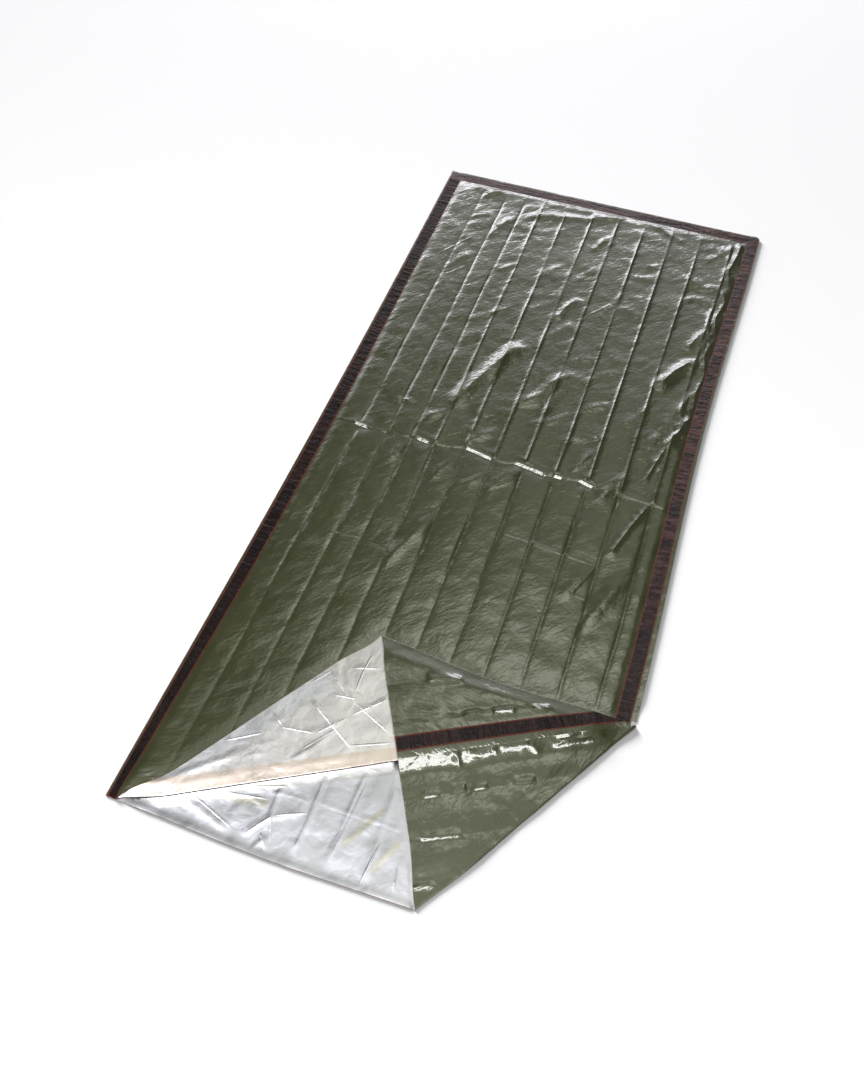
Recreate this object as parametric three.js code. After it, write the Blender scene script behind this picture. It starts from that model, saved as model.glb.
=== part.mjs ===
// An emergency sleeping bag of thin film, laid out flat and empty with its mouth towards -Y.
// Two panels, olive outside and silver inside, are closed along both sides and the head end with
// strips of dark tape. The mouth's right-hand corner has been pulled over to the left and pressed
// flat, so that the side seam lies in the middle of the turned-back film and the inside shows.
//
// Millimetres, +Z up. The origin is on the floor under the middle of the bag.
//
// Each panel is drawn as a flat pattern in u (across) and v (along). The pattern is cut into small
// cells along its creases and fold lines, and every corner is then carried to its place by a map
// that rolls the film over its fold lines. The map takes a third number, h, the height above the
// middle of the film, so one map places both faces of a panel and the tape that lies on it.
import * as THREE from "three";

// ---------------------------------------------------------------- driving dimensions
const WIDTH = 900;
const LENGTH = 2000;
const FILM = 1.0; // thickness of a panel
const TAPE = 1.0; // thickness of the tape
const GAP = 0.4; // between pieces that lie on or beside each other
const TAPE_WIDTH = 30;
const HEAD_MARGIN = 5; // film outside the tape at the head end

const FOLD_START = 43; // from the left side to the fold's start on the mouth's edge
const FOLD_END = 467; // from the mouth to the fold's end on the right side
const NOTCH = 10; // relief cut from the upper panel where its folds meet
const UNDER_RADIUS = 2.0; // upper panel, where it turns back over itself
const OVER_RADIUS = 0.75; // upper panel, where it turns forward again
const CORNER_RADIUS = 1.25; // lower panel, where its corner turns over
const FOLD_STEPS = 6; // flat facets round a half turn
const PUFF = 2; // rise of the turned-back film in the middle of each of its halves

// The long sides draw in a little between their corners.
const LEFT_DRAW = 8;
const RIGHT_DRAW = 15;

const LEFT = -WIDTH / 2;
const RIGHT = WIDTH / 2;
const MOUTH = -LENGTH / 2;
const HEAD = LENGTH / 2;

// Marks that run the length of the bag: where each crosses the mouth (foot) and the head end
const leftTape = {
  outer: { foot: LEFT + 7, head: LEFT + 3 },
  inner: { foot: LEFT + 7 + TAPE_WIDTH, head: LEFT + 3 + TAPE_WIDTH },
};
const rightTape = {
  inner: { foot: RIGHT - 14 - TAPE_WIDTH, head: RIGHT - 2 - TAPE_WIDTH },
  outer: { foot: RIGHT - 14, head: RIGHT - 2 },
};

// Creases from packing. A crease that is a ridge towards the head end is a trough towards the
// mouth, and the other way round, because the bag was first folded in half at MIDDLE.
const PLEATS = [
  { foot: -366, head: -332, ridgeAtHead: false },
  { foot: -291, head: -262, ridgeAtHead: false },
  { foot: -226, head: -207, ridgeAtHead: false },
  { foot: -155, head: -154, ridgeAtHead: true },
  { foot: -84, head: -82, ridgeAtHead: true },
  { foot: -12, head: -8, ridgeAtHead: true },
  { foot: 61, head: 66, ridgeAtHead: true },
  { foot: 137, head: 140, ridgeAtHead: true },
  { foot: 213, head: 218, ridgeAtHead: true },
  { foot: 290, head: 297, ridgeAtHead: true },
  { foot: 366, head: 383, ridgeAtHead: true },
];
const PLEAT_RISE = 1.7; // from the lowest to the highest part of the pleats
const MIDDLE = 0; // where the crease from folding in half runs across
const MIDDLE_RISE = 1.0;
const MIDDLE_REACH = 60; // distance over which the pleats change over at that crease
const FADE = 70; // distance over which a crease or a rise grows from nothing
const ROW = 125; // distance between the rows of cells

// ---------------------------------------------------------------- fold lines
const point = (x, y) => new THREE.Vector2(x, y);

// A line of the pattern through a point, in a direction. Its left-hand side is positive.
const line = (through, direction) => ({ through, along: direction.clone().normalize() });
const across = (l) => point(-l.along.y, l.along.x);
const side = (l, p) => p.clone().sub(l.through).dot(across(l));
const shifted = (l, by) => line(l.through.clone().addScaledVector(across(l), by), l.along);

// A mark's place at v, and its line
const markAt = (mark, v) => mark.foot + ((mark.head - mark.foot) * (v - MOUTH)) / LENGTH;
const markLine = (mark) => line(point(mark.foot, MOUTH), point(mark.head - mark.foot, LENGTH));
const halfway = (a, b) => ({ foot: (a.foot + b.foot) / 2, head: (a.head + b.head) / 2 });

// A direction mirrored in a line
function mirrored(l, direction) {
  const along = l.along.clone().multiplyScalar(2 * direction.dot(l.along));
  return along.sub(direction);
}

// The upper panel turns back on underLine. Both panels turn over on overLine, which halves the
// angle between underLine and the right-hand side, so the side seam lands on underLine.
const foldStart = point(LEFT + FOLD_START, MOUTH);
const foldEnd = point(RIGHT, MOUTH + FOLD_END);
const underLine = line(foldEnd, foldStart.clone().sub(foldEnd));
const overLine = line(foldEnd, underLine.along.clone().add(point(0, -1)));

// The head tape, and where the side tapes stop short of it
const headTape = { from: HEAD - HEAD_MARGIN - TAPE_WIDTH, to: HEAD - HEAD_MARGIN };
const sideTapeEnd = headTape.from - GAP;

// Where overLine and the mouth's edge land on the upper panel once it has turned back
const flapFold = line(foldEnd, mirrored(underLine, overLine.along));
const flapEdge = line(foldStart, mirrored(underLine, point(1, 0)));

// ---------------------------------------------------------------- heights of the layers
const LOWER_LEVEL = FILM / 2;
const UPPER_LEVEL = FILM + GAP + FILM / 2;
const FLAP_LEVEL = UPPER_LEVEL + 2 * UNDER_RADIUS + 2 * OVER_RADIUS;
const CORNER_LEVEL = LOWER_LEVEL + 2 * CORNER_RADIUS;

// ---------------------------------------------------------------- the folded surface
const fade = (distance) => THREE.MathUtils.smoothstep(distance, 0, FADE);

// Rolls a placed point over a line: what lies on the line's positive side turns half round an axis
// and lands mirrored, above the sheet where turn is 1 and below it where turn is -1.
function roll(p, l, radius, turn) {
  const flat = point(p.x, p.y);
  const distance = side(l, flat);
  const start = (-Math.PI * radius) / 2;
  if (distance <= start) return p;
  const angle = Math.min((distance - start) / radius, Math.PI);
  const arm = radius - turn * p.z;
  const beyond = Math.max(0, distance + start);
  const reached = start + arm * Math.sin(angle) - beyond;
  flat.addScaledVector(across(l), reached - distance);
  return new THREE.Vector3(flat.x, flat.y, turn * (radius - arm * Math.cos(angle)));
}

// Turns a placed point over a line as roll does with turn 1, but flat right up to the line
function turnOver(p, l, radius) {
  const flat = point(p.x, p.y);
  flat.addScaledVector(across(l), -2 * side(l, flat));
  return new THREE.Vector3(flat.x, flat.y, 2 * radius - p.z);
}

// The pattern narrows between the corners of its long sides.
function drawnIn(u, v) {
  const share = (u - LEFT) / WIDTH;
  const leftPart = Math.sin((Math.PI * (v - MOUTH)) / LENGTH);
  const rightPart = Math.sin((Math.PI * Math.max(0, v - foldEnd.y)) / (HEAD - foldEnd.y)) ** 2;
  return u + LEFT_DRAW * leftPart * (1 - share) - RIGHT_DRAW * rightPart * share;
}

// How much of a ridge a pleat is at v, from 0 for a trough to 1
function ridge(pleat, v) {
  const headHalf = THREE.MathUtils.smoothstep(v, MIDDLE - MIDDLE_REACH, MIDDLE + MIDDLE_REACH);
  return pleat.ridgeAtHead ? headHalf : 1 - headHalf;
}

// Heights across the bag at v, as shares of PLEAT_RISE: the film sags between two ridges, arches
// between two troughs, and lies low along both side tapes.
function pleatStops(v) {
  const creases = PLEATS.map((pleat) => ({ mark: pleat, share: ridge(pleat, v) }));
  const stops = [{ mark: leftTape.inner, share: 0 }, ...creases, { mark: rightTape.inner, share: 0 }];
  return stops.flatMap((stop, k) => {
    if (k === 0) return [stop];
    const before = stops[k - 1];
    return [{ mark: halfway(before.mark, stop.mark), share: 1 - (before.share + stop.share) / 2 }, stop];
  });
}

function pleatHeight(u, v) {
  const stops = pleatStops(v).map(({ mark, share }) => ({ at: markAt(mark, v), share }));
  const next = stops.findIndex((stop) => stop.at > u);
  if (next < 1) return 0;
  const [a, b] = [stops[next - 1], stops[next]];
  return PLEAT_RISE * THREE.MathUtils.mapLinear(u, a.at, b.at, a.share, b.share);
}

const fromLeftTape = (u, v) => u - markAt(leftTape.inner, v);
const fromRightTape = (u, v) => markAt(rightTape.inner, v) - u;

function middleHeight(u, v) {
  const near = 1 - THREE.MathUtils.smoothstep(Math.abs(v - MIDDLE), 0, MIDDLE_REACH);
  return MIDDLE_RISE * near * fade(fromLeftTape(u, v)) * fade(fromRightTape(u, v));
}

// How far the upper panel stands off its level, towards its outer face
function upperRise(u, v) {
  const p = point(u, v);
  if (side(underLine, p) > 0) {
    return PUFF * fade(Math.min(side(overLine, p), fromRightTape(u, v))) * fade(v - MOUTH);
  }
  const fromFlap = Math.max(-side(flapFold, p), side(flapEdge, p));
  return fade(fromFlap) * fade(headTape.from - v) * (pleatHeight(u, v) + middleHeight(u, v));
}

// How far the lower panel's turned-over corner stands off its level: it climbs to meet the upper
// panel's flap along the seam.
function cornerRise(u, v) {
  const fromFold = fade(side(overLine, point(u, v)));
  const seam = (FLAP_LEVEL - CORNER_LEVEL) * (1 - fade(RIGHT - u));
  const middle = PUFF * fade(RIGHT - u) * fade(v - MOUTH);
  return fromFold * (seam + middle);
}

function placeUpper(u, v, h) {
  const start = new THREE.Vector3(drawnIn(u, v), v, h + upperRise(u, v));
  const once = roll(start, overLine, OVER_RADIUS, -1);
  const onFlap = side(overLine, point(u, v)) > 0;
  const placed = onFlap ? turnOver(once, underLine, UNDER_RADIUS) : roll(once, underLine, UNDER_RADIUS, 1);
  placed.z += UPPER_LEVEL;
  return placed;
}

// The lower panel's outer face is its underside, which is uppermost on the turned-over corner.
function placeLower(u, v, h) {
  const start = new THREE.Vector3(drawnIn(u, v), v, h - cornerRise(u, v));
  const placed = roll(start, overLine, CORNER_RADIUS, 1);
  placed.z += LOWER_LEVEL;
  return placed;
}

// ---------------------------------------------------------------- cells of a flat pattern
const TOUCH = 1e-6; // distances and areas below this are nothing

const rectangle = (u0, u1, v0, v1) => [point(u0, v0), point(u1, v0), point(u1, v1), point(u0, v1)];

// The parts of a cell on either side of a line. A part without area is left out.
function split(cell, l) {
  const parts = [[], []];
  cell.forEach((p, i) => {
    const q = cell[(i + 1) % cell.length];
    const a = side(l, p);
    const b = side(l, q);
    if (a > -TOUCH) parts[0].push(p);
    if (a < TOUCH) parts[1].push(p);
    if (Math.abs(a) > TOUCH && Math.abs(b) > TOUCH && a * b < 0) {
      const crossing = p.clone().lerp(q, a / (a - b));
      parts.forEach((part) => part.push(crossing));
    }
  });
  return parts.filter((part) => part.length > 2 && Math.abs(THREE.ShapeUtils.area(part)) > TOUCH);
}

const cutAll = (outline, lines) => lines.reduce((cells, l) => cells.flatMap((c) => split(c, l)), [outline]);
const straight = (u) => ({ foot: u, head: u });
const crosswise = (v) => line(point(0, v), point(1, 0));

// The lines on which a rolled fold is cut into its facets
function foldCuts(l, radius) {
  const half = (Math.PI * radius) / 2;
  return Array.from({ length: FOLD_STEPS + 1 }, (_, k) => shifted(l, half * ((2 * k) / FOLD_STEPS - 1)));
}

function rows() {
  const count = Math.round(LENGTH / ROW);
  return Array.from({ length: count - 1 }, (_, k) => MOUTH + ((k + 1) * LENGTH) / count);
}

const middleOf = (cell) => cell.reduce((sum, p) => sum.add(p), point(0, 0)).divideScalar(cell.length);

// Whether a cell lies between two marks and between two heights of the pattern
function isBetween(cell, leftMark, rightMark, v0, v1) {
  const p = middleOf(cell);
  return p.x > markAt(leftMark, p.y) && p.x < markAt(rightMark, p.y) && p.y > v0 && p.y < v1;
}

// ---------------------------------------------------------------- a solid sheet from its cells
// Both faces of the sheet, at heights low and high, and the wall round its edge
function sheetGeometry(cells, place, low, high) {
  const numbers = new Map();
  const positions = [];
  const faces = [];
  const numberOf = (p) => {
    const key = `${p.x.toFixed(3)} ${p.y.toFixed(3)}`;
    if (!numbers.has(key)) {
      numbers.set(key, positions.length / 3);
      [low, high].forEach((h) => positions.push(...place(p.x, p.y, h).toArray()));
    }
    return numbers.get(key);
  };
  const edges = new Set();
  cells.forEach((cell) => {
    const ring = cell.map(numberOf);
    ring.forEach((a, i) => edges.add(`${a} ${ring[(i + 1) % ring.length]}`));
    for (let i = 1; i < ring.length - 1; i++) {
      faces.push(ring[0] + 1, ring[i] + 1, ring[i + 1] + 1);
      faces.push(ring[0], ring[i + 1], ring[i]);
    }
  });
  edges.forEach((edge) => {
    const [a, b] = edge.split(" ").map(Number);
    if (!edges.has(`${b} ${a}`)) faces.push(a, b, b + 1, a, b + 1, a + 1);
  });
  const geometry = new THREE.BufferGeometry();
  geometry.setAttribute("position", new THREE.Float32BufferAttribute(positions, 3));
  geometry.setIndex(faces);
  return geometry;
}

// ---------------------------------------------------------------- the panels and tapes
const oliveFilm = new THREE.MeshStandardMaterial({ color: 0x5a5e46, roughness: 0.38, metalness: 0.1 });
const darkTape = new THREE.MeshStandardMaterial({ color: 0x2b1c1f, roughness: 0.5, metalness: 0.0 });

// The upper panel's cells also carry the outlines of the tapes, which then follow every fold. A
// small square is cut away where its folds meet at the right side, as all its layers end there.
function upperCells() {
  const notchTop = foldEnd.y + NOTCH;
  const notchFoot = foldEnd.y - NOTCH;
  const marks = [leftTape.outer, rightTape.outer, ...pleatStops(MIDDLE).map((stop) => stop.mark)];
  const middle = [MIDDLE - MIDDLE_REACH, MIDDLE + MIDDLE_REACH];
  const over = [...rows(), ...middle, notchFoot, notchTop, sideTapeEnd, headTape.from, headTape.to];
  const cuts = [
    ...marks.map(markLine),
    ...over.map(crosswise),
    markLine(straight(RIGHT - NOTCH)),
    ...foldCuts(underLine, UNDER_RADIUS),
    ...foldCuts(overLine, OVER_RADIUS),
  ];
  const cells = cutAll(rectangle(LEFT + GAP, RIGHT - GAP, MOUTH, HEAD), cuts);
  const inNotch = (cell) => isBetween(cell, straight(RIGHT - NOTCH), straight(RIGHT), notchFoot, notchTop);
  return cells.filter((cell) => !inNotch(cell));
}

// The lower panel is flat on the floor, so only its turned-over corner needs close cells.
function lowerCells() {
  const along = [LEFT / 2, 0, RIGHT - 3 * FADE, RIGHT - 2 * FADE, RIGHT - FADE, RIGHT - FADE / 2];
  const cuts = [
    ...along.map((u) => markLine(straight(u))),
    ...rows().map(crosswise),
    ...foldCuts(overLine, CORNER_RADIUS),
    ...[FADE / 2, FADE].map((by) => shifted(overLine, by)),
  ];
  return cutAll(rectangle(LEFT, RIGHT, MOUTH, HEAD), cuts);
}

const upper = upperCells();
const stripOf = (from, to, v0, v1) => upper.filter((cell) => isBetween(cell, from, to, v0, v1));
const panel = (cells, place) => sheetGeometry(cells, place, -FILM / 2, FILM / 2);
const tape = (cells) => sheetGeometry(cells, placeUpper, FILM / 2 + GAP, FILM / 2 + GAP + TAPE);

function piece(name, geometry, material) {
  const mesh = new THREE.Mesh(geometry, material);
  mesh.name = name;
  return mesh;
}

const bag = new THREE.Group();
bag.add(
  piece("lower_panel", panel(lowerCells(), placeLower), oliveFilm),
  piece("upper_panel", panel(upper, placeUpper), oliveFilm),
  piece("tape_left", tape(stripOf(leftTape.outer, leftTape.inner, MOUTH, sideTapeEnd)), darkTape),
  piece("tape_right", tape(stripOf(rightTape.inner, rightTape.outer, MOUTH, sideTapeEnd)), darkTape),
  piece("tape_head", tape(stripOf(leftTape.outer, rightTape.outer, headTape.from, headTape.to)), darkTape),
);

export default bag;
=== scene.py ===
# %% [markdown]
# # An emergency sleeping bag of foil film
# Two panels of thin film, olive outside and silver inside, are closed with dark tape along both
# sides and the head end. The bag lies flat and empty, with its mouth towards -Y, and the mouth's
# right-hand corner has been pulled over to the left and pressed flat, so the inside shows.
#
# Film like this hardly stretches, so every piece here starts as the flat pattern it was cut to. One
# small function then carries any place of the pattern over its folds. Heights for creases are added
# to the pattern first, and so the creases travel through the folds as they do on the real bag.

# %% Load the frame
import math

import bmesh
import bpy
import numpy as np
from mathutils import Euler, Matrix, Vector
from mathutils.bvhtree import BVHTree
from mathutils.geometry import delaunay_2d_cdt


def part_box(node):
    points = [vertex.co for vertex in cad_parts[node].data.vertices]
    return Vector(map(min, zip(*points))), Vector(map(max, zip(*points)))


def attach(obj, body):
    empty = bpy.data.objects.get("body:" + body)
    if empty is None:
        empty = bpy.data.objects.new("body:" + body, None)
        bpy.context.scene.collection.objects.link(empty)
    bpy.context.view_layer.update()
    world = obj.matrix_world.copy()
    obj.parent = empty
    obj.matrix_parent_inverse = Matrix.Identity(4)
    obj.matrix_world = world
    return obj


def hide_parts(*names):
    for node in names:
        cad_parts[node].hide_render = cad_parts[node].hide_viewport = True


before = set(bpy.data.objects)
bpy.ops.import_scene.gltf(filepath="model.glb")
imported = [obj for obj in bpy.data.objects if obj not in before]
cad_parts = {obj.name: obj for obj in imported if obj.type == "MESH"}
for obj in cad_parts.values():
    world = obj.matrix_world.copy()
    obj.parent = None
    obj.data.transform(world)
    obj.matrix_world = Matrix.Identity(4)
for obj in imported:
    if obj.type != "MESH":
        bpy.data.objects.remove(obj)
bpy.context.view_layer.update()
scene = bpy.context.scene

# %% [markdown]
# ## Driving sizes
# The lower panel lies flat on the floor, so its box gives the width and length of both panels. What
# the box can't give is repeated here by name: where the tapes run, where the corner's folds start
# and end, and how thin the film is.

# %% Sizes of the bag, in metres
MM = 0.001
panel_low, panel_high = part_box("lower_panel")
WIDTH = round(panel_high.x - panel_low.x, 2)
LENGTH = round(panel_high.y - panel_low.y, 2)
LEFT = -WIDTH / 2
RIGHT = WIDTH / 2
MOUTH = -LENGTH / 2
HEAD = LENGTH / 2

TAPE_WIDTH = 30 * MM
HEAD_MARGIN = 5 * MM
FOLD_START = 43 * MM
FOLD_END = 467 * MM
NOTCH = 9 * MM
UNDER_RADIUS = 1.7 * MM
OVER_RADIUS = 1.0 * MM
CORNER_RADIUS = 1.2 * MM
LEFT_DRAW = 8 * MM
RIGHT_DRAW = 15 * MM

FILM = 0.3 * MM
TAPE = 0.25 * MM
GLUE = 0.05 * MM
LOWER_LEVEL = 0.4 * MM
UPPER_LEVEL = 1.3 * MM
FLAP_LEVEL = UPPER_LEVEL + 2 * UNDER_RADIUS
TOP_LEVEL = FLAP_LEVEL + 2 * OVER_RADIUS
CORNER_LEVEL = LOWER_LEVEL + 2 * CORNER_RADIUS
print(f"panels {WIDTH:.2f} x {LENGTH:.2f} m, turned-back corner up to {TOP_LEVEL / MM:.1f} mm high")

# %% [markdown]
# ## The camera
# The camera comes early, because it is what all later looks are judged by. It stands beyond the
# mouth, to the right, and looks down on the bag. A camera looks along its own -Z, so its turn is
# made from the tilt away from straight down and the turn about the upright axis.

# %% The camera
CAMERA_PLACE = (0.32912, -1.39181, 1.79122)
CAMERA_TILT = 33.95
CAMERA_TURN = 19.32
CAMERA_ROLL = 0.25
CAMERA_LENS = 32.75

camera_data = bpy.data.cameras.new("camera")
camera_data.lens = CAMERA_LENS
camera_data.sensor_width = 36.0
camera_data.dof.use_dof = False
camera = bpy.data.objects.new("camera", camera_data)
scene.collection.objects.link(camera)
camera.location = CAMERA_PLACE
looks = Euler((math.radians(CAMERA_TILT), 0.0, math.radians(CAMERA_TURN))).to_matrix()
camera.rotation_euler = (looks @ Matrix.Rotation(math.radians(CAMERA_ROLL), 3, "Z")).to_euler()
scene.camera = camera
print("the camera stands", round(camera.location.length, 2), "m from the middle of the bag")

# %% [markdown]
# ## Lines and folds of the pattern
# A place on the pattern is u, across the bag, and v, along it. A third number h is the height above
# the middle of the film. The corner folds along two lines that meet at the side seam: the upper panel
# folds back along under_line, and both panels fold over along over_line, half way to the seam. Film
# past a line lands mirrored. Everything works on whole arrays, so one call folds every vertex.

# %% Lines on the pattern
def unit(x, y):
    """A direction of length 1."""
    return np.array([x, y]) / math.hypot(x, y)


def line(through, direction):
    """A line through a place, along a direction."""
    return {"through": np.array(through), "along": unit(*direction)}


def side(fold, x, y):
    """Distance from a line, positive on its left-hand side."""
    return (y - fold["through"][1]) * fold["along"][0] - (x - fold["through"][0]) * fold["along"][1]


def mirror(fold, x, y):
    """Where a place lands when it is mirrored over a line."""
    far = 2 * side(fold, x, y)
    return x + far * fold["along"][1], y - far * fold["along"][0]


fold_start = (LEFT + FOLD_START, MOUTH)
fold_end = (RIGHT, MOUTH + FOLD_END)
under_line = line(fold_end, (fold_start[0] - fold_end[0], fold_start[1] - fold_end[1]))
over_line = line(fold_end, (under_line["along"][0], under_line["along"][1] - 1.0))
over_turn = math.degrees(math.atan2(*over_line["along"]))
print("over the seam's fold the corner turns by", round(over_turn), "degrees")

# %% [markdown]
# ## A fold as a roll
# On the bag a fold is a tight bend, a few film thicknesses round. It could be bent by hand or with an
# armature, but then the film would stretch. A formula keeps every length: film that has reached the
# line runs half round a thin rod, and what is left over goes straight on, back the way it came.

# %% Roll film over a line
def roll(x, y, z, fold, radius, turn):
    """Rolls places over a line: turn 1 rolls them up and back, turn -1 down and back."""
    distance = side(fold, x, y)
    start = -math.pi * radius / 2
    angle = np.clip((distance - start) / radius, 0.0, math.pi)
    arm = radius - turn * z
    reached = start + arm * np.sin(angle) - np.maximum(0.0, distance + start)
    move = np.where(distance > start, reached - distance, 0.0)
    height = np.where(distance > start, turn * (radius - arm * np.cos(angle)), z)
    return x - move * fold["along"][1], y + move * fold["along"][0], height


film_bend = math.pi * OVER_RADIUS
print("the fold over the seam takes up", round(film_bend / MM, 1), "mm of film")

# %% [markdown]
# ## Marks that run the length of the bag
# The tapes are a little askew, and so are the creases left by the packing folds. Each mark is given
# by where it crosses the mouth (foot) and the head end, and a straight line joins the two. The bag
# was folded lengthwise like a map, so the creases lie about as far apart as its packet was wide.

# %% Tape edges and packing creases
LEFT_TAPE = {"outer": (LEFT + 5 * MM, LEFT + 3 * MM), "inner": (LEFT + 39 * MM, LEFT + 36 * MM)}
RIGHT_TAPE = {"outer": (RIGHT - 14 * MM, RIGHT - 1 * MM), "inner": (RIGHT - 46 * MM, RIGHT - 31 * MM)}
HEAD_TAPE = (HEAD - HEAD_MARGIN - TAPE_WIDTH, HEAD - HEAD_MARGIN)

# foot and head in mm; ridge 1 where the crease stands up in the head half, 0 where it is pressed in
PLEATS = [
    {"foot": -366, "head": -332, "ridge": 0},
    {"foot": -291, "head": -262, "ridge": 0},
    {"foot": -226, "head": -207, "ridge": 0},
    {"foot": -155, "head": -154, "ridge": 1},
    {"foot": -84, "head": -82, "ridge": 1},
    {"foot": -12, "head": -8, "ridge": 1},
    {"foot": 61, "head": 66, "ridge": 1},
    {"foot": 137, "head": 140, "ridge": 1},
    {"foot": 213, "head": 218, "ridge": 1},
    {"foot": 290, "head": 297, "ridge": 1},
    {"foot": 366, "head": 383, "ridge": 1},
]
CREASES = [(p["foot"] * MM, p["head"] * MM) for p in PLEATS]
RIDGE = [p["ridge"] for p in PLEATS]
MIDDLE = 0.0
MOUTH_CREASE = MOUTH + 115 * MM


def mark_at(mark, v):
    """Where a mark lies across the bag at a place v along it."""
    foot, head = mark
    return foot + (head - foot) * (v - MOUTH) / LENGTH


crease_gap = (CREASES[-1][0] - CREASES[0][0]) / (len(CREASES) - 1)
print(len(CREASES), "packing creases, about", round(crease_gap / MM), "mm apart at the mouth")

# %% [markdown]
# ## Columns of the pattern
# The pattern becomes a mesh of cells. An even grid would blur each crease, and a very fine one would
# be heavy. So the columns follow the creases and the tape edges, and crowd together beside them.
# Columns that must stay where they are, such as a tape's edge, are remembered for later.

# %% Columns
BESIDE_CREASE = [-8 * MM, -4 * MM, -1 * MM, 1 * MM, 4 * MM, 8 * MM]
COLUMN_STEP = 8 * MM
LOWER_STEP = 5 * MM


def column_marks(step):
    """Marks of all columns from left to right, and which of them must stay where they are."""
    stops = [(LEFT, LEFT), LEFT_TAPE["outer"], LEFT_TAPE["inner"]]
    loose = []
    for crease in CREASES:
        stops += [(crease[0] + off, crease[1] + off) for off in BESIDE_CREASE]
        loose += [stops[-1], stops[-len(BESIDE_CREASE)]]
    stops += [RIGHT_TAPE["inner"], RIGHT_TAPE["outer"], (RIGHT, RIGHT)]
    marks = [stops[0]]
    kept = [True]
    for a, b in zip(stops, stops[1:]):
        count = max(1, round((b[0] - a[0] + b[1] - a[1]) / 2 / step))
        for k in range(1, count + 1):
            marks.append(tuple(a[e] + (b[e] - a[e]) * k / count for e in (0, 1)))
            kept.append(k == count and b not in loose)
    return marks, kept


print(len(column_marks(COLUMN_STEP)[0]), "columns on the upper panel")

# %% [markdown]
# ## Rows of the pattern
# Rows run across. They are close where the corner is folded, close at the two creases that cross the
# bag, and far apart where the film is calm. The lower panel is hidden past the corner, so a few wide
# rows are enough there.

# %% Rows
FLAP_ROWS = 5.5 * MM
CALM_ROWS = 11 * MM
PUCKERED_ROWS = 8 * MM
MOUTH_ROWS = 4.5 * MM
HIDDEN_ROWS = 40 * MM


def row_places(stops):
    """Places of all rows: stops is a list of (place, step up to that place)."""
    rows = [stops[0][0]]
    for (a, _), (b, step) in zip(stops, stops[1:]):
        count = max(1, round((b - a) / step))
        rows += [a + (b - a) * k / count for k in range(1, count + 1)]
    return rows


def around(middle, offsets):
    """Stops for rows crowded around a crosswise crease, with offsets in mm."""
    return [(middle + off * MM, 1.0) for off in offsets]


SIDE_TAPE_END = HEAD_TAPE[0] - 0.4 * MM
UPPER_ROWS = row_places(
    [(MOUTH, 1.0)]
    + [(MOUTH_CREASE - 9 * MM, FLAP_ROWS)] + around(MOUTH_CREASE, [-4.5, -1.5, 0, 1.5, 4.5, 9])
    + [(fold_end[1] + 20 * MM, FLAP_ROWS), (MIDDLE - 13 * MM, CALM_ROWS)]
    + around(MIDDLE, [-9, -6.6, -6, -5.3, -0.7, 0, 0.8, 4, 8, 13])
    + [(SIDE_TAPE_END - 30 * MM, PUCKERED_ROWS), (SIDE_TAPE_END, 5 * MM), (HEAD_TAPE[0], 1.0)]
    + [(HEAD_TAPE[1], 5 * MM), (HEAD, 5 * MM)]
)
LOWER_ROWS = row_places(
    [(MOUTH, 1.0)]
    + [(MOUTH_CREASE - 9 * MM, MOUTH_ROWS)] + around(MOUTH_CREASE, [-4.5, -1.5, 0, 1.5, 4.5, 9])
    + [(fold_end[1] + 20 * MM, MOUTH_ROWS), (HEAD, HIDDEN_ROWS)]
)
print(len(UPPER_ROWS), "rows on the upper panel,", len(LOWER_ROWS), "on the lower one")

# %% [markdown]
# ## A soft ramp and the middle line
# Nearly every height below fades in or out, and ease is the ramp for that: 0 up to a place, 1 from
# another, and a smooth change between. The crease from folding the bag in half is the first use. It
# isn't straight, because the layers slipped a little, so its wander is given as a list across the bag.

# %% A soft ramp and the middle line
def ease(x):
    """0 below 0, 1 above 1, and a smooth step between."""
    t = np.clip(x, 0.0, 1.0)
    return t * t * (3.0 - 2.0 * t)


# across and along, in mm
MIDDLE_LINE = [(-420, 2), (-362, 4), (-322, -1), (-240, 2), (-206, 9), (-164, 3), (-120, 8), (-85, 19),
               (-11, 5), (20, 6), (42, 14), (117, 3), (134, 7), (163, 7), (195, 14), (238, 2), (300, 4),
               (400, 0)]


def middle_wander(u):
    """The crease from folding in half climbs and steps back several times on its way across."""
    return np.interp(u, [a * MM for a, _ in MIDDLE_LINE], [b * MM for _, b in MIDDLE_LINE])


print("half way up the ramp:", ease(0.5), "- the middle line wanders by up to",
      max(b for _, b in MIDDLE_LINE), "mm")

# %% [markdown]
# ## Pulling vertices onto listed creases
# A crease that crosses the cells at a slant comes out as a row of teeth. A denser mesh makes the
# teeth smaller, but moving the nearest vertices onto the crease removes them, and costs nothing.

# %% Pull vertices onto a crease
PULL_REACH = 5 * MM


def pull(u, v, kept, table):
    """Moves the nearest vertices onto each path, so that its crest runs along edges of the mesh."""
    for row in table:
        for a, b in zip(row["path"], row["path"][1:]):
            if abs(b[0] - a[0]) < 1.2 * abs(b[1] - a[1]):
                low, high = sorted((a[1], b[1]))
                for j in np.flatnonzero((v[:, 0] > low) & (v[:, 0] < high)):
                    x = a[0] + (b[0] - a[0]) * (v[j, 0] - a[1]) / (b[1] - a[1])
                    i = np.argmin(np.abs(u[j] - x))
                    if not kept[i] and abs(u[j, i] - x) < PULL_REACH:
                        u[j, i] = x
            else:
                low, high = sorted((a[0], b[0]))
                for i in np.flatnonzero((u[-1] > low) & (u[-1] < high)):
                    y = a[1] + (b[1] - a[1]) * (u[-1, i] - a[0]) / (b[0] - a[0])
                    j = np.argmin(np.abs(v[:, i] - y))
                    if v[j, i] < SIDE_TAPE_END - 8 * MM and abs(v[j, i] - y) < PULL_REACH:
                        v[j, i] = y


print("a vertex moves by less than", round(PULL_REACH / MM), "mm")

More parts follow.
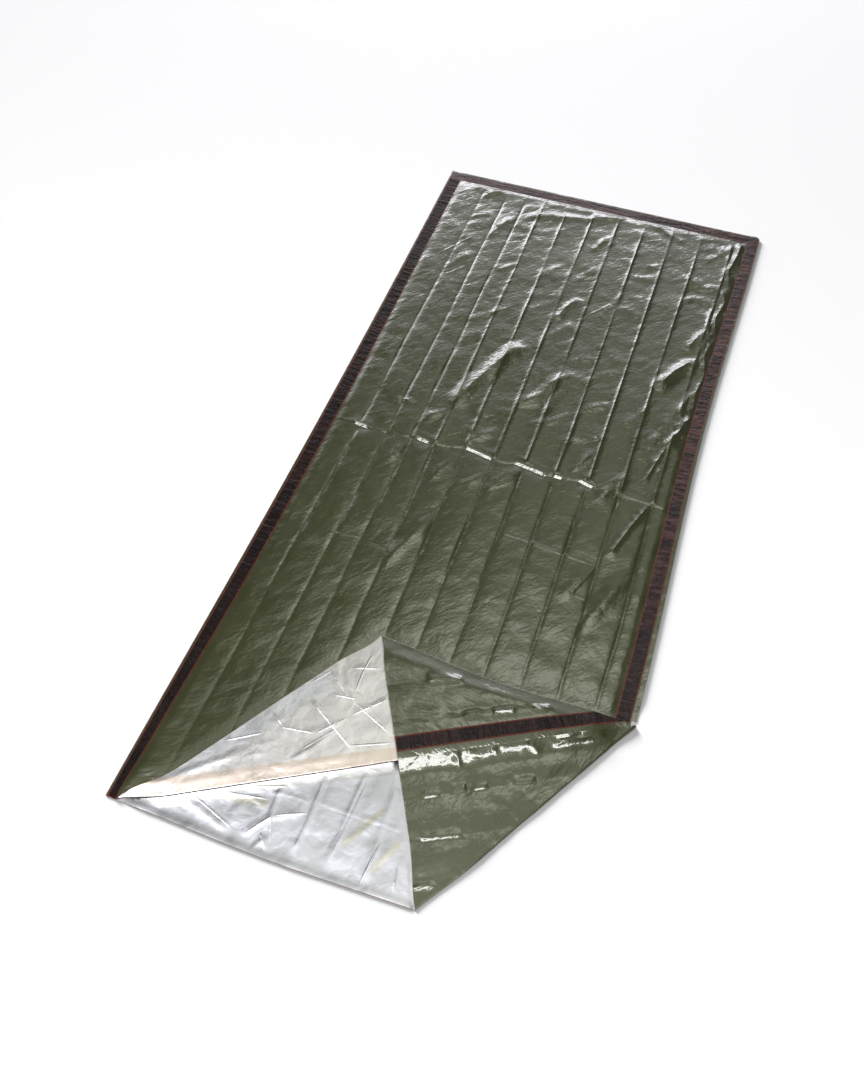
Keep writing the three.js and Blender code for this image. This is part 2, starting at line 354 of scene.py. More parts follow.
# %% [markdown]
# ## The pattern as a mesh
# The cells are made flat, as the film was when it was cut. Where a fold will pass, they are cut along
# the lines on which the film bends, so that the roll comes out round. A bmesh does this well, as its
# bisect tool cuts every face that a plane crosses and keeps the rest.

# %% The pattern, cut along its folds
WANDER_FROM = 13 * MM
WANDER_FADE = 45 * MM
CUT_JOIN = 0.02 * MM


def pattern_mesh(columns, kept, rows, folds, table):
    """The flat pattern as a bmesh, cut along the bending lines of its folds."""
    v = np.array(rows)[:, None] + np.zeros(len(columns))
    feet, heads = np.array(columns).T
    u = feet + (heads - feet) * (v - MOUTH) / LENGTH
    v = v + middle_wander(u) * (1.0 - ease((np.abs(v - MIDDLE) - WANDER_FROM) / WANDER_FADE))
    pull(u, v, kept, table)
    bm = bmesh.new()
    grid = [[bm.verts.new((x, y, 0.0)) for x, y in zip(*row)] for row in zip(u, v)]
    for low, high in zip(grid, grid[1:]):
        for k in range(len(columns) - 1):
            bm.faces.new((low[k], low[k + 1], high[k + 1], high[k]))
    for fold, radius, cuts in folds:
        normal = (-fold["along"][1], fold["along"][0], 0.0)
        half = math.pi * radius / 2
        for k in range(cuts + 1):
            off = half * (2 * k / cuts - 1)
            place = (fold["through"][0] + normal[0] * off, fold["through"][1] + normal[1] * off, 0.0)
            geometry = bm.verts[:] + bm.edges[:] + bm.faces[:]
            bmesh.ops.bisect_plane(bm, geom=geometry, dist=CUT_JOIN, plane_co=place, plane_no=normal)
    return bm


print("vertices within", CUT_JOIN / MM, "mm of a cut count as on it")

# %% [markdown]
# ## A notch where the folds meet
# Both folds end at the same point of the side seam. On the real bag the film is pinched there. Rolls
# with a radius can't pass through a point, so a small square of every layer is cut away at it.

# %% Cut the notch, and read the cells as arrays
NOTCH_ROOM = 40 * MM


def without_notch(bm):
    """Cuts away the small square at the seam where the folds meet."""
    for place, normal in (((RIGHT - NOTCH, 0, 0), (1, 0, 0)), ((0, fold_end[1] - NOTCH, 0), (0, 1, 0)),
                          ((0, fold_end[1] + NOTCH, 0), (0, 1, 0))):
        near = [f for f in bm.faces if f.calc_center_median().x > RIGHT - NOTCH_ROOM
                and abs(f.calc_center_median().y - fold_end[1]) < NOTCH_ROOM]
        parts = list({e for f in near for e in f.edges} | {v for f in near for v in f.verts}) + near
        bmesh.ops.bisect_plane(bm, geom=parts, dist=CUT_JOIN, plane_co=place, plane_no=normal)
    gone = [f for f in bm.faces if f.calc_center_median().x > RIGHT - NOTCH
            and abs(f.calc_center_median().y - fold_end[1]) < NOTCH]
    bmesh.ops.delete(bm, geom=gone, context="FACES")
    return bm


def as_arrays(bm):
    """Places (u, v) and faces of a pattern, with faces of many corners cut into triangles."""
    bmesh.ops.triangulate(bm, faces=[f for f in bm.faces if len(f.verts) > 4])
    bm.verts.index_update()
    places = np.array([v.co[:2] for v in bm.verts])
    faces = [[v.index for v in f.verts] for f in bm.faces]
    bm.free()
    return places, faces


print("the notch is", 2 * NOTCH / MM, "mm long and", NOTCH / MM, "mm deep")

# %% [markdown]
# ## Random hills and facets
# No two creases are alike, so their depth and place need smooth random numbers: hills. Film that was
# crushed and smoothed out again is another thing: it keeps flat facets with crisp edges. Noise alone
# would look like an orange's skin, so facets come from a net of triangles with random corners, and
# every place reads its height off the net. Fixed seeds make the bag the same every time.

# %% Hills and facets
def hills(a, b, seed):
    """Smooth random heights from -1 to 1, one hill or hollow to each whole step of a and b."""
    table = np.random.default_rng(seed).uniform(-1.0, 1.0, (61, 67))
    i, j = np.floor(a).astype(int), np.floor(b).astype(int)
    s, t = ease(a - i), ease(b - j)
    rows = [table[(i + di) % 61, (j + dj) % 67] for di in (0, 1) for dj in (0, 1)]
    return (rows[0] * (1 - t) + rows[1] * t) * (1 - s) + (rows[2] * (1 - t) + rows[3] * t) * s


def facets(x, y, spacing, seed, stretch=1.0):
    """Heights from -1 to 1 of a net of flat facets with random corners, stretched along x."""
    rng = np.random.default_rng(seed)
    x = x / stretch
    low = np.array([x.min(), y.min()]) - 2 * spacing
    count = np.ceil((np.array([x.max(), y.max()]) + 2 * spacing - low) / spacing).astype(int)
    lattice = np.stack(np.meshgrid(np.arange(count[0]), np.arange(count[1])), -1).reshape(-1, 2)
    corners = low + (lattice + rng.uniform(-0.42, 0.42, lattice.shape)) * spacing
    heights = rng.uniform(-1.0, 1.0, len(corners))
    made = delaunay_2d_cdt([Vector(c) for c in corners], [], [], 0, 1e-7)
    points = [(p.x, p.y, heights[o[0]]) for p, o in zip(made[0], made[3])]
    net = BVHTree.FromPolygons(points, made[2])
    down = Vector((0.0, 0.0, -1.0))
    hits = [net.ray_cast(Vector((px, py, 5.0)), down)[0] for px, py in zip(x, y)]
    return np.array([h.z if h is not None else 0.0 for h in hits])


print("random shapes: hills and facets, each from its own fixed seed")

# %% [markdown]
# ## Ridges along a path
# The folds that catch the eye are placed one by one. Each is a path of a few points with a rise, and
# with how far its left and right sides reach. A steep side and a long side make it look like pulled
# film and not like a bead. Its two ends fade out over a share of the path, the taper.

# %% Ridges along a path
def ridge(rise, left, right, *path, taper=0.3):
    """A ridge: its rise and the reach of its left and right sides in mm, and its path in metres."""
    return {"path": list(path), "rise": rise, "left": left, "right": right, "taper": taper}


def along_path(x, y, path):
    """For each place: distance to a path, positive on its left, and how far along it, 0 to 1."""
    pieces = [(np.array(a), np.array(b)) for a, b in zip(path, path[1:])]
    lengths = [np.linalg.norm(b - a) for a, b in pieces]
    nearest = np.full(x.shape, np.inf)
    signed = np.zeros(x.shape)
    share = np.zeros(x.shape)
    done = 0.0
    for (a, b), length in zip(pieces, lengths):
        along = (b - a) / length
        forward = (x - a[0]) * along[0] + (y - a[1]) * along[1]
        left = (y - a[1]) * along[0] - (x - a[0]) * along[1]
        inside = np.clip(forward, 0.0, length)
        distance = np.hypot(forward - inside, left)
        closer = distance < nearest
        nearest = np.where(closer, distance, nearest)
        signed = np.where(closer, np.where(left < 0, -distance, distance), signed)
        share = np.where(closer, (done + inside) / sum(lengths), share)
        done += length
    return signed, share


def wrinkles(x, y, table, crisp=1.05, crest=1.0 * MM):
    """Sum of the ridges in a table. Each falls off to both sides and fades out at its ends."""
    total = np.zeros(x.shape)
    for row in table:
        reach = max(row["left"], row["right"]) * MM
        ends = np.array(row["path"])
        near = ((x > ends[:, 0].min() - reach) & (x < ends[:, 0].max() + reach)
                & (y > ends[:, 1].min() - reach) & (y < ends[:, 1].max() + reach))
        signed, share = along_path(x[near], y[near], row["path"])
        fall = np.hypot(signed, crest) - crest
        fall /= np.where(signed > 0, row["left"], row["right"]) * MM
        ends_fade = ease(share / row["taper"]) * ease((1.0 - share) / row["taper"])
        total[near] += row["rise"] * MM * np.clip(1.0 - fall, 0.0, 1.0) ** crisp * ends_fade
    return total


sample = wrinkles(np.full(3, 0.05), np.array([-0.01, 0.0, 0.005]), [ridge(3, 10, 20, (0, 0), (0.1, 0))])
print("a ridge of 3 mm, 1 cm to its right, on it and 5 mm to its left:", np.round(sample / MM, 1))

# %% [markdown]
# ## Where the packing creases run, and how deep
# A crease made by folding a stack of layers is never quite straight or even. Each crease wanders by
# about a millimetre and is deeper in some places than in others. Both come from the hills.

# %% Place and strength of a packing crease
def crease_strength(v, k, seed=11):
    """How deep crease k is, around 0.85. The two seeds give its line and its sides."""
    return 0.85 + 0.4 * hills(v / 0.11 + 3.7 * k, np.full(v.shape, k * 1.0), seed)


def crease_place(k, v):
    """Packing crease k, which wanders a little. The tapes' inner edges count as 0 and as the last."""
    stops = [LEFT_TAPE["inner"]] + CREASES + [RIGHT_TAPE["inner"]]
    return mark_at(stops[k], v) + 1.2 * MM * hills(v / 0.16, np.full(v.shape, k * 1.0), 5)


print("the sixth crease crosses the middle at", round(mark_at(CREASES[5], MIDDLE) / MM, 1), "mm")

# %% [markdown]
# ## Pleats
# In the head half most packing creases stand up as ridges, and between two of them the film sags. In
# the mouth half, and on the left, they are pressed in as valleys, and the film arches between them.
# The valleys grow shallow towards the mouth, where the film was handled and smoothed. Each height is
# a plain sum: a shallow arch or sag for the strip, and a narrow crest or groove for the crease.

# %% Pleats
SAG = 2.2 * MM
ARCH = 1.3 * MM
LEFT_ARCH = 0.6
LEFT_STRIPS = 4
CREASE_RISE = 2.0 * MM
CREASE_REACH = 6 * MM
CHANGE_REACH = 14 * MM
SHALLOW = 0.55
SHALLOW_FROM = -0.18
SHALLOW_OVER = 0.32
CALM = 0.25


def pleats(u, v):
    """Heights of the strips between packing creases, and of the creases themselves."""
    w = v - MIDDLE - middle_wander(u)
    head_half = ease((w + CHANGE_REACH) / (2 * CHANGE_REACH))
    valley = np.zeros(v.shape)
    shares = [valley] + [head_half if ridge else valley for ridge in RIDGE] + [valley]
    total = np.zeros(u.shape)
    for k in range(len(shares) - 1):
        a, b = crease_place(k, v), crease_place(k + 1, v)
        t = (u - a) / (b - a)
        inside = (t >= 0) & (t < 1)
        both = (shares[k] + shares[k + 1]) / 2
        ends = shares[k] * (1 - t) + shares[k + 1] * t
        hump = 1.0 - np.abs(2 * np.clip(t, 0, 1) - 1) ** 2.2
        strength = crease_strength(v, k) * (1 - t) + crease_strength(v, k + 1) * t
        arch = ARCH * (LEFT_ARCH if k < LEFT_STRIPS else 1.0)
        # the first strip stands up beside its tape and falls from there
        if k == 0:
            hump = 1.0 - np.clip(t, 0, 1)
        rise = SAG * ends * (1.0 - 0.8 * hump) + arch * (1 - both) * hump
        total += np.where(inside, rise * strength, 0.0)
    # towards the mouth the creases lose a share of their depth
    pressed_flat = 1.0 - SHALLOW * ease((SHALLOW_FROM - v) / SHALLOW_OVER)
    for k in range(1, len(shares) - 1):
        sign = (2 * shares[k] - 1) * pressed_flat
        fall = np.clip(1.0 - np.abs(u - crease_place(k, v)) / CREASE_REACH, 0.0, 1.0)
        total += CREASE_RISE * sign * crease_strength(v, k, 12) * fall
    # beside the open mouth, on the left, the film is calmer
    calm = ease((-0.2 - v) / 0.25) * ease((0.02 - u) / 0.12)
    return total * (1.0 - CALM * calm) * (0.78 + 0.22 * head_half)


print("strips sag by", SAG / MM, "mm or arch by", ARCH / MM, "mm")
print("creases are", CREASE_RISE / MM, "mm high or deep")

# %% [markdown]
# ## The crease across the middle
# This crease, from folding the bag in half, is the sharpest of all. It has a narrow face towards the
# mouth and a long back. The face glints in dashes, where it is steep, and is nearly flat between.
# Ramps on either side of the line give both, and a list says where the face is steep.

# %% The crease across the middle
# where the face is steep, in mm across the bag
MIDDLE_GLINTS = [(-362, -322), (-206, -164), (-85, -11), (42, 117), (134, 163), (195, 238)]
MIDDLE_FACE = 6 * MM
MIDDLE_BACK = 26 * MM
GLINT_ENDS = 4 * MM


def steepness(u):
    """1 where the middle crease is steep, 0 between."""
    steep = np.zeros(u.shape)
    for start, end in MIDDLE_GLINTS:
        one = ease((u - start * MM) / GLINT_ENDS) * ease((end * MM - u) / GLINT_ENDS)
        steep = np.maximum(steep, one)
    return steep


def middle_crease(u, v):
    """Height of the middle crease: it climbs on the mouth's side and falls slowly behind."""
    rise = MIDDLE_FACE * (0.12 + 0.44 * steepness(u))
    w = v - MIDDLE - middle_wander(u)
    near = np.clip(1.0 + w / MIDDLE_FACE, 0.0, 1.0)
    far = np.clip(1.0 - w / MIDDLE_BACK, 0.0, 1.0) ** 1.5
    return rise * np.where(w < 0, near, far)


steep_share = steepness(np.linspace(LEFT, RIGHT, 1000)).mean()
print("the middle crease is steep over", round(100 * steep_share), "% of the width")

# %% [markdown]
# ## Puckers
# Where the film was pulled, folded carelessly or taped under tension, it stands up in short slanting
# ridges. A cloth simulation would make some, but not these ones in these places, so they are listed
# one by one: each has a rise, the reach of its two sides and a path on the bag as it lies. A path from
# left to right has its left side towards the head end. The long ones stand beside the tapes, where
# the film is longer than the tape that holds it.

# %% Puckers of the upper panel
PUCKERS = [
    ridge(8, 29, 34, (-0.165, 0.11), (-0.115, 0.25), (-0.065, 0.362), (-0.008, 0.388), taper=0.22),
    ridge(5, 22, 28, (-0.02, 0.175), (0.03, 0.22), (0.06, 0.29), (0.12, 0.345)),
    ridge(4.4, 12, 26, (0, 0.49), (0.015, 0.55), (0.032, 0.582), (0.064, 0.587), taper=0.2),
    ridge(2.2, 12, 24, (0.138, 0.585), (0.165, 0.597), (0.212, 0.572), taper=0.2),
    ridge(7.4, 20, 32, (0.29, 0.335), (0.33, 0.42), (0.378, 0.485), taper=0.25),
    ridge(4, 12, 20, (0.333, 0.485), (0.355, 0.54), (0.378, 0.6)),
    ridge(3.2, 20, 18, (0.285, 0.775), (0.34, 0.742), (0.385, 0.752), taper=0.15),
    ridge(2.2, 12, 14, (0.295, 0.672), (0.325, 0.697), (0.378, 0.688), taper=0.15),
    ridge(1.1, 8, 12, (0.138, 0.645), (0.21, 0.651), (0.28, 0.640)),
    ridge(3.2, 18, 20, (-0.205, 0.855), (-0.15, 0.885), (-0.02, 0.915), (0.1, 0.965), taper=0.2),
    ridge(2.0, 14, 16, (0.168, 0.957), (0.21, 0.925), (0.26, 0.905), taper=0.15),
    ridge(1.8, 13, 12, (0.29, 0.885), (0.375, 0.925)),
    ridge(2.4, 14, 10, (0.315, 0.835), (0.35, 0.875), (0.392, 0.945)),
    ridge(2.2, 9, 14, (-0.335, 0.815), (-0.275, 0.855)),
    ridge(2.6, 9, 16, (-0.335, 0.91), (-0.275, 0.965)),
    ridge(2.8, 11, 16, (-0.265, 0.74), (-0.245, 0.8), (-0.215, 0.865)),
    ridge(2, 8, 12, (-0.2, 0.62), (-0.15, 0.675)),
    ridge(1.6, 9, 14, (-0.205, 0.35), (-0.185, 0.375), (-0.15, 0.388)),
    ridge(3, 10, 16, (-0.21, 0.075), (-0.155, 0.11)),
    ridge(1.6, 7, 10, (-0.3, 0.105), (-0.24, 0.112)),
    ridge(1.8, 5, 8, (0.125, 0.1), (0.18, 0.14), (0.245, 0.157)),
    ridge(2.4, 7, 10, (0.345, 0.235), (0.38, 0.25), (0.405, 0.32)),
    ridge(3.4, 7, 9, (0.305, -0.17), (0.335, -0.07), (0.36, 0.0), taper=0.15),
    ridge(3.2, 7, 9, (0.33, 0.04), (0.352, 0.14), (0.375, 0.23), taper=0.15),
    ridge(3.4, 20, 22, (0.29, -0.37), (0.325, -0.28), (0.352, -0.19)),
    ridge(2.2, 14, 14, (0.235, -0.31), (0.255, -0.26), (0.275, -0.21)),
    ridge(2.8, 22, 16, (-0.155, -0.37), (-0.12, -0.28), (-0.085, -0.19)),
    ridge(2.6, 14, 16, (-0.005, -0.1), (0.02, -0.05), (0.06, 0)),
    ridge(1.6, 12, 12, (-0.05, -0.1), (-0.005, -0.02)),
    ridge(2.0, 13, 20, (-0.385, 0.954), (-0.3, 0.952), (-0.2, 0.954), (0, 0.952), (0.09, 0.956),
          taper=0.05),
    ridge(2.0, 13, 18, (0.12, 0.954), (0.25, 0.952), (0.38, 0.954), taper=0.08),
    ridge(3.2, 10, 9, (0.372, 0.16), (0.381, 0.24), (0.371, 0.31), (0.384, 0.37), taper=0.12),
    ridge(3.8, 9, 7, (0.398, 0.30), (0.391, 0.36), (0.401, 0.43), (0.388, 0.50), (0.399, 0.56), taper=0.12),
    ridge(2.8, 9, 7, (0.376, 0.50), (0.386, 0.57), (0.373, 0.64), (0.384, 0.70), taper=0.12),
    ridge(3.8, 9, 7, (0.399, 0.575), (0.390, 0.64), (0.402, 0.70), (0.389, 0.76), taper=0.12),
    ridge(3.8, 9, 7, (0.401, 0.77), (0.390, 0.83), (0.402, 0.90), (0.406, 0.965), taper=0.12),
    ridge(2.6, 7, 9, (0.345, 0.16), (0.375, 0.22), (0.402, 0.305)),
    ridge(2.6, 12, 16, (0.3, 0.1), (0.335, 0.2), (0.372, 0.34)),
    ridge(2.4, 12, 18, (0.055, 0.13), (0.075, 0.24), (0.13, 0.345)),
    ridge(2.6, 10, 16, (0.14, 0.205), (0.175, 0.245), (0.215, 0.265)),
    ridge(2, 9, 13, (0.145, 0.335), (0.18, 0.36), (0.212, 0.372)),
    ridge(1.8, 8, 14, (0.07, 0.355), (0.1, 0.385), (0.135, 0.392)),
    ridge(1.8, 9, 9, (0.1, 0.53), (0.13, 0.6), (0.142, 0.66)),
    ridge(1.8, 10, 12, (0.005, 0.63), (0.03, 0.69), (0.06, 0.73)),
    ridge(1.8, 10, 12, (-0.09, 0.62), (-0.06, 0.68), (-0.02, 0.71)),
    ridge(3.0, 14, 18, (-0.085, 0.025), (-0.06, 0.065), (-0.02, 0.095)),
    ridge(3.0, 14, 12, (0.165, 0.015), (0.185, 0.06), (0.207, 0.115)),
    ridge(3.0, 16, 16, (0.235, -0.05), (0.26, 0.0), (0.3, 0.075)),
    ridge(2.4, 10, 14, (0.05, 0.14), (0.09, 0.165), (0.13, 0.205)),
    ridge(2.2, 12, 10, (-0.25, -0.095), (-0.232, -0.05), (-0.215, -0.015)),
    ridge(2.4, 12, 14, (-0.135, -0.11), (-0.115, -0.06), (-0.09, -0.015)),
    ridge(2.6, 10, 10, (0.02, 0.785), (0.04, 0.83), (0.06, 0.87)),
    ridge(2.2, 9, 12, (0.15, 0.715), (0.185, 0.732), (0.212, 0.73)),
    ridge(2.2, 8, 10, (0.175, 0.775), (0.212, 0.79)),
    ridge(2.6, 12, 20, (0.0, 0.42), (0.02, 0.46), (0.055, 0.505)),
    ridge(1.8, 12, 16, (-0.2, 0.42), (-0.17, 0.46), (-0.1, 0.53)),
    ridge(1.8, 12, 14, (-0.335, 0.58), (-0.31, 0.63), (-0.275, 0.69)),
    ridge(2.4, 12, 16, (0.24, 0.2), (0.27, 0.235), (0.3, 0.29)),
]
print(len(PUCKERS), "puckers, up to", max(row["rise"] for row in PUCKERS), "mm high")

# %% [markdown]
# ## The turned-back corner
# Its layers are described where they lie on the floor, not on the pattern, because that is how one
# sees them. The folds, the seam and the mouth's edge bound them. Each bound becomes a line, and a
# place's distance from a line then says how near the edge of its layer it is.

# %% Lines of the turned-back corner, as it lies
def turned_back(places):
    """Carries places of the silver flap from where they lie to the flat pattern, or back again."""
    return [tuple(float(c) for c in mirror(under_line, *place)) for place in places]


# once folded, the seam lies along the same line as the fold under it
seam_line = under_line
corner_tip = mirror(under_line, *mirror(over_line, RIGHT, MOUTH))
far_end, edge_end = turned_back([over_line["through"] + over_line["along"], (RIGHT, MOUTH)])
far_fold = line(fold_end, np.array(far_end) - over_line["through"])
mouth_fold = line(fold_start, np.array(edge_end) - np.array(fold_start))
steps_to_mouth = (MOUTH - fold_end[1]) / over_line["along"][1]
fold_foot = over_line["through"] + steps_to_mouth * over_line["along"]
corner_edge = line(corner_tip, fold_foot - np.array(corner_tip))
print("the seam meets the mouth's edge at", np.round(corner_tip, 3))
print("the near fold runs from the corner point to", np.round(fold_foot, 3))


def seam_along(x, y):
    """Distance from the corner point, along the seam."""
    ax, ay = seam_line["along"]
    return (x - fold_end[0]) * ax + (y - fold_end[1]) * ay


# %% [markdown]
# ## Slopes beside the seam
# The two olive layers meet at the seam, which stands up as a soft ridge under its tape. From there
# the near layer falls steeply for three centimetres, and that slope is what shines. Such a slope is
# easiest to shape as a short table, read with straight lines between its rows. The packing creases
# are valleys here and run beside the seam, so the film arches between them.

# %% Slopes beside the seam
# each row: distance in metres, then height in mm for the crest, or a share of the seam's height
SEAM_TOP = 4.4
CREST_ABOVE = 2.6
SEAM_CREST = [(0.0, SEAM_TOP), (0.012, 7.4), (0.046, 6.9), (0.078, 6.6), (0.16, 6.6), (0.40, 5.0)]
SHINY_SLOPE = [(0.0, 1.0), (0.025, 0.36), (0.07, 0.17), (0.16, 0.08), (0.24, 0.0)]
SOFT_SLOPE = [(0.0, 1.0), (0.030, 0.42), (0.07, 0.22), (0.16, 0.08), (0.24, 0.0)]
SHINY_FROM = 320 * MM
CREASES_FROM_SEAM = [0.0, 78 * MM, 157 * MM, 234 * MM, 312 * MM]


def from_table(distance, table):
    """Reads a table of (distance, value) rows."""
    return np.interp(distance, [a for a, _ in table], [b for _, b in table])


def beside_seam(distance):
    """Arched strips between the packing creases that run beside the seam."""
    total = np.zeros(distance.shape)
    for a, b in zip(CREASES_FROM_SEAM, CREASES_FROM_SEAM[1:]):
        t = (distance - a) / (b - a)
        total += np.where((t >= 0) & (t < 1), 1.0 - np.abs(2 * t - 1) ** 2.0, 0.0)
    return total


print("2 cm from the seam the shiny slope is at", round(from_table(0.02, SHINY_SLOPE), 2), "of its height")

# %% [markdown]
# ## Small bright folds of the olive layers
# Short folds catch the lamps as dashes. Where such a fold lies is chance, but a random spread would
# put them everywhere, so these are listed one by one as well. The first list is for the upper panel's
# layer beyond the seam, the second for the lower panel's corner on the near side.

# %% Small bright folds of the olive layers
GLINTS_TOP = [
    ridge(3.8, 18, 10, (0.034, -0.582), (0.108, -0.545), taper=0.15),
    ridge(2.4, 12, 6, (0.125, -0.632), (0.165, -0.610)),
    ridge(2.75, 14, 7, (0.180, -0.604), (0.222, -0.582), taper=0.15),
    ridge(2.45, 10, 6, (0.250, -0.565), (0.290, -0.550), taper=0.15),
    ridge(1.2, 12, 9, (0.02, -0.66), (0.10, -0.635)),
    ridge(1.4, 7, 7, (0.105, -0.675), (0.125, -0.655)),
]
GLINTS_CORNER = [
    ridge(1.65, 12, 6, (0.105, -0.806), (0.138, -0.790), taper=0.15),
    ridge(1.75, 12, 6, (0.155, -0.777), (0.180, -0.763), taper=0.15),
    ridge(1.8, 12, 6, (0.190, -0.760), (0.218, -0.746), taper=0.15),
    ridge(1.9, 12, 6, (0.258, -0.724), (0.298, -0.703), taper=0.15),
    ridge(1.5, 12, 6, (0.125, -0.884), (0.205, -0.845), taper=0.15),
    ridge(1.5, 12, 6, (0.155, -0.966), (0.188, -0.948), taper=0.15),
    ridge(2.2, 6, 7, (0.300, -0.607), (0.345, -0.588), (0.395, -0.558), taper=0.1),
    ridge(2.5, 6, 8, (0.303, -0.630), (0.345, -0.603), (0.400, -0.570), taper=0.1),
    ridge(1.8, 9, 8, (0.215, -0.668), (0.245, -0.652), (0.265, -0.640), taper=0.1),
    ridge(1.6, 7, 7, (0.265, -0.638), (0.29, -0.655)),
    ridge(1.6, 8, 7, (0.150, -0.700), (0.190, -0.685), (0.210, -0.672), taper=0.1),
    ridge(1.6, 8, 8, (0.135, -0.700), (0.158, -0.735)),
]
print(len(GLINTS_TOP), "small folds beyond the seam and", len(GLINTS_CORNER), "on the corner")

# %% [markdown]
# ## Creases of the silver side
# Silver film mirrors its surroundings, so a crease of half a millimetre is already a bright line. The
# first list is for the turned-back layer, the second for the layer on the floor. They are low and
# narrow, because the film lies nearly flat there.

# %% Creases of the silver side
SILVER_TOP = [
    ridge(0.66, 6, 7, (-0.385, -0.965), (-0.29, -0.875), (-0.20, -0.822), taper=0.1),
    ridge(0.54, 6, 7, (-0.34, -0.92), (-0.25, -0.838), (-0.18, -0.785), taper=0.15),
    ridge(0.78, 7, 7, (-0.165, -0.695), (-0.13, -0.711), (-0.045, -0.767), taper=0.1),
    ridge(0.66, 7, 7, (-0.155, -0.825), (-0.125, -0.79), (-0.095, -0.735), taper=0.1),
    ridge(0.72, 7, 7, (-0.155, -0.625), (-0.085, -0.655), (0.01, -0.714), taper=0.1),
    ridge(0.66, 7, 7, (-0.13, -0.670), (-0.08, -0.664)),
    ridge(0.66, 7, 7, (-0.08, -0.695), (-0.045, -0.665), (-0.022, -0.642), taper=0.1),
    ridge(0.6, 7, 7, (-0.20, -0.765), (-0.15, -0.765), (-0.12, -0.745), (-0.08, -0.708)),
    ridge(0.66, 7, 7, (-0.118, -0.602), (-0.06, -0.582)),
    ridge(0.6, 7, 7, (-0.225, -0.745), (-0.19, -0.77), (-0.145, -0.79)),
    ridge(0.54, 7, 7, (-0.26, -0.79), (-0.225, -0.82)),
]
SILVER_FLOOR = [
    ridge(0.3, 4, 4, (-0.205, -0.902), (-0.14, -0.886), (-0.085, -0.885), taper=0.1),
    ridge(0.27, 4, 4, (-0.075, -0.879), (0.0, -0.880), (0.10, -0.878), taper=0.1),
    ridge(0.55, 4, 5, (-0.274, -0.968), (-0.274, -0.925)),
    ridge(0.72, 5, 6, (-0.142, -0.965), (-0.149, -0.905), (-0.148, -0.865), taper=0.15),
    ridge(0.78, 5, 5, (-0.079, -0.975), (-0.075, -0.92), (-0.079, -0.826), taper=0.1),
    ridge(0.66, 6, 6, (-0.012, -0.97), (-0.012, -0.88), (-0.008, -0.792), taper=0.1),
    ridge(0.55, 7, 6, (0.062, -0.99), (0.058, -0.90), (0.055, -0.80), taper=0.1),
    ridge(0.9, 9, 7, (-0.325, -0.955), (-0.27, -0.966), (-0.205, -0.980), taper=0.2),
    ridge(0.66, 8, 6, (-0.182, -0.978), (-0.145, -0.937), (-0.085, -0.905), taper=0.1),
    ridge(0.66, 5, 5, (-0.158, -0.992), (-0.128, -0.968)),
    ridge(0.55, 5, 5, (-0.150, -0.970), (-0.118, -0.988)),
    ridge(0.55, 6, 6, (-0.245, -0.925), (-0.20, -0.911), (-0.155, -0.921), taper=0.1),
    ridge(0.42, 5, 5, (-0.21, -0.958), (-0.205, -0.925)),
    ridge(0.42, 8, 8, (0.0, -0.93), (0.03, -0.90), (0.05, -0.86)),
    ridge(0.42, 8, 7, (0.07, -0.955), (0.085, -0.92), (0.10, -0.90)),
    ridge(0.42, 4, 5, (0.112, -0.962), (0.137, -0.990)),
]
print(len(SILVER_TOP), "creases on the silver flap and", len(SILVER_FLOOR), "on the silver below it")

# %% [markdown]
# ## Heights of the corner's three layers
# Each layer is a sum: a large shape, a crush of facets in two sizes, and its listed folds. It
# fades towards the folds that bound it, where the film is held by its own bend. The corner's slope
# starts from the seam's crest, so the two olive layers meet there.

# %% Heights of the corner's three layers
# over these lengths the film gets free of a bend, the seam gets its height, and the flap its shape
BEND_HOLD = 20 * MM
SEAM_GROWS = 100 * MM
FAR_FADE = 40 * MM


def silver_flap(x, y):
    """Rise of the silver layer above its level, where it lies."""
    from_fold = -side(seam_line, x, y)
    from_far = side(far_fold, x, y)
    hold = ease((from_fold - 4 * MM) / BEND_HOLD) * ease((from_far - 3 * MM) / BEND_HOLD)
    crush = 0.7 * MM * (1.0 + facets(x, y, 0.062, 21)) + 0.16 * MM * (1.0 + facets(x, y, 0.024, 22))
    return hold * (crush + wrinkles(x, y, SILVER_TOP, 1.0))


def olive_flap(x, y):
    """Rise of the upper panel's olive layer above its level, where it lies."""
    from_seam = -side(seam_line, x, y)
    from_far = side(far_fold, x, y)
    reach = ease(seam_along(x, y) / SEAM_GROWS)
    shape = MM * from_table(from_seam, SEAM_CREST) * reach + 1.2 * MM * ease(from_far / (50 * MM))
    arch = 1.6 * MM * beside_seam(from_seam) * ease((from_seam - 46 * MM) / BEND_HOLD)
    crush = 0.8 * MM * facets(x, y, 0.045, 23) + 0.25 * MM * facets(x, y, 0.02, 24)
    shape += arch + crush * ease(from_seam / BEND_HOLD) + wrinkles(x, y, GLINTS_TOP, 1.0)
    return ease((from_far + 4 * MM) / FAR_FADE) * shape


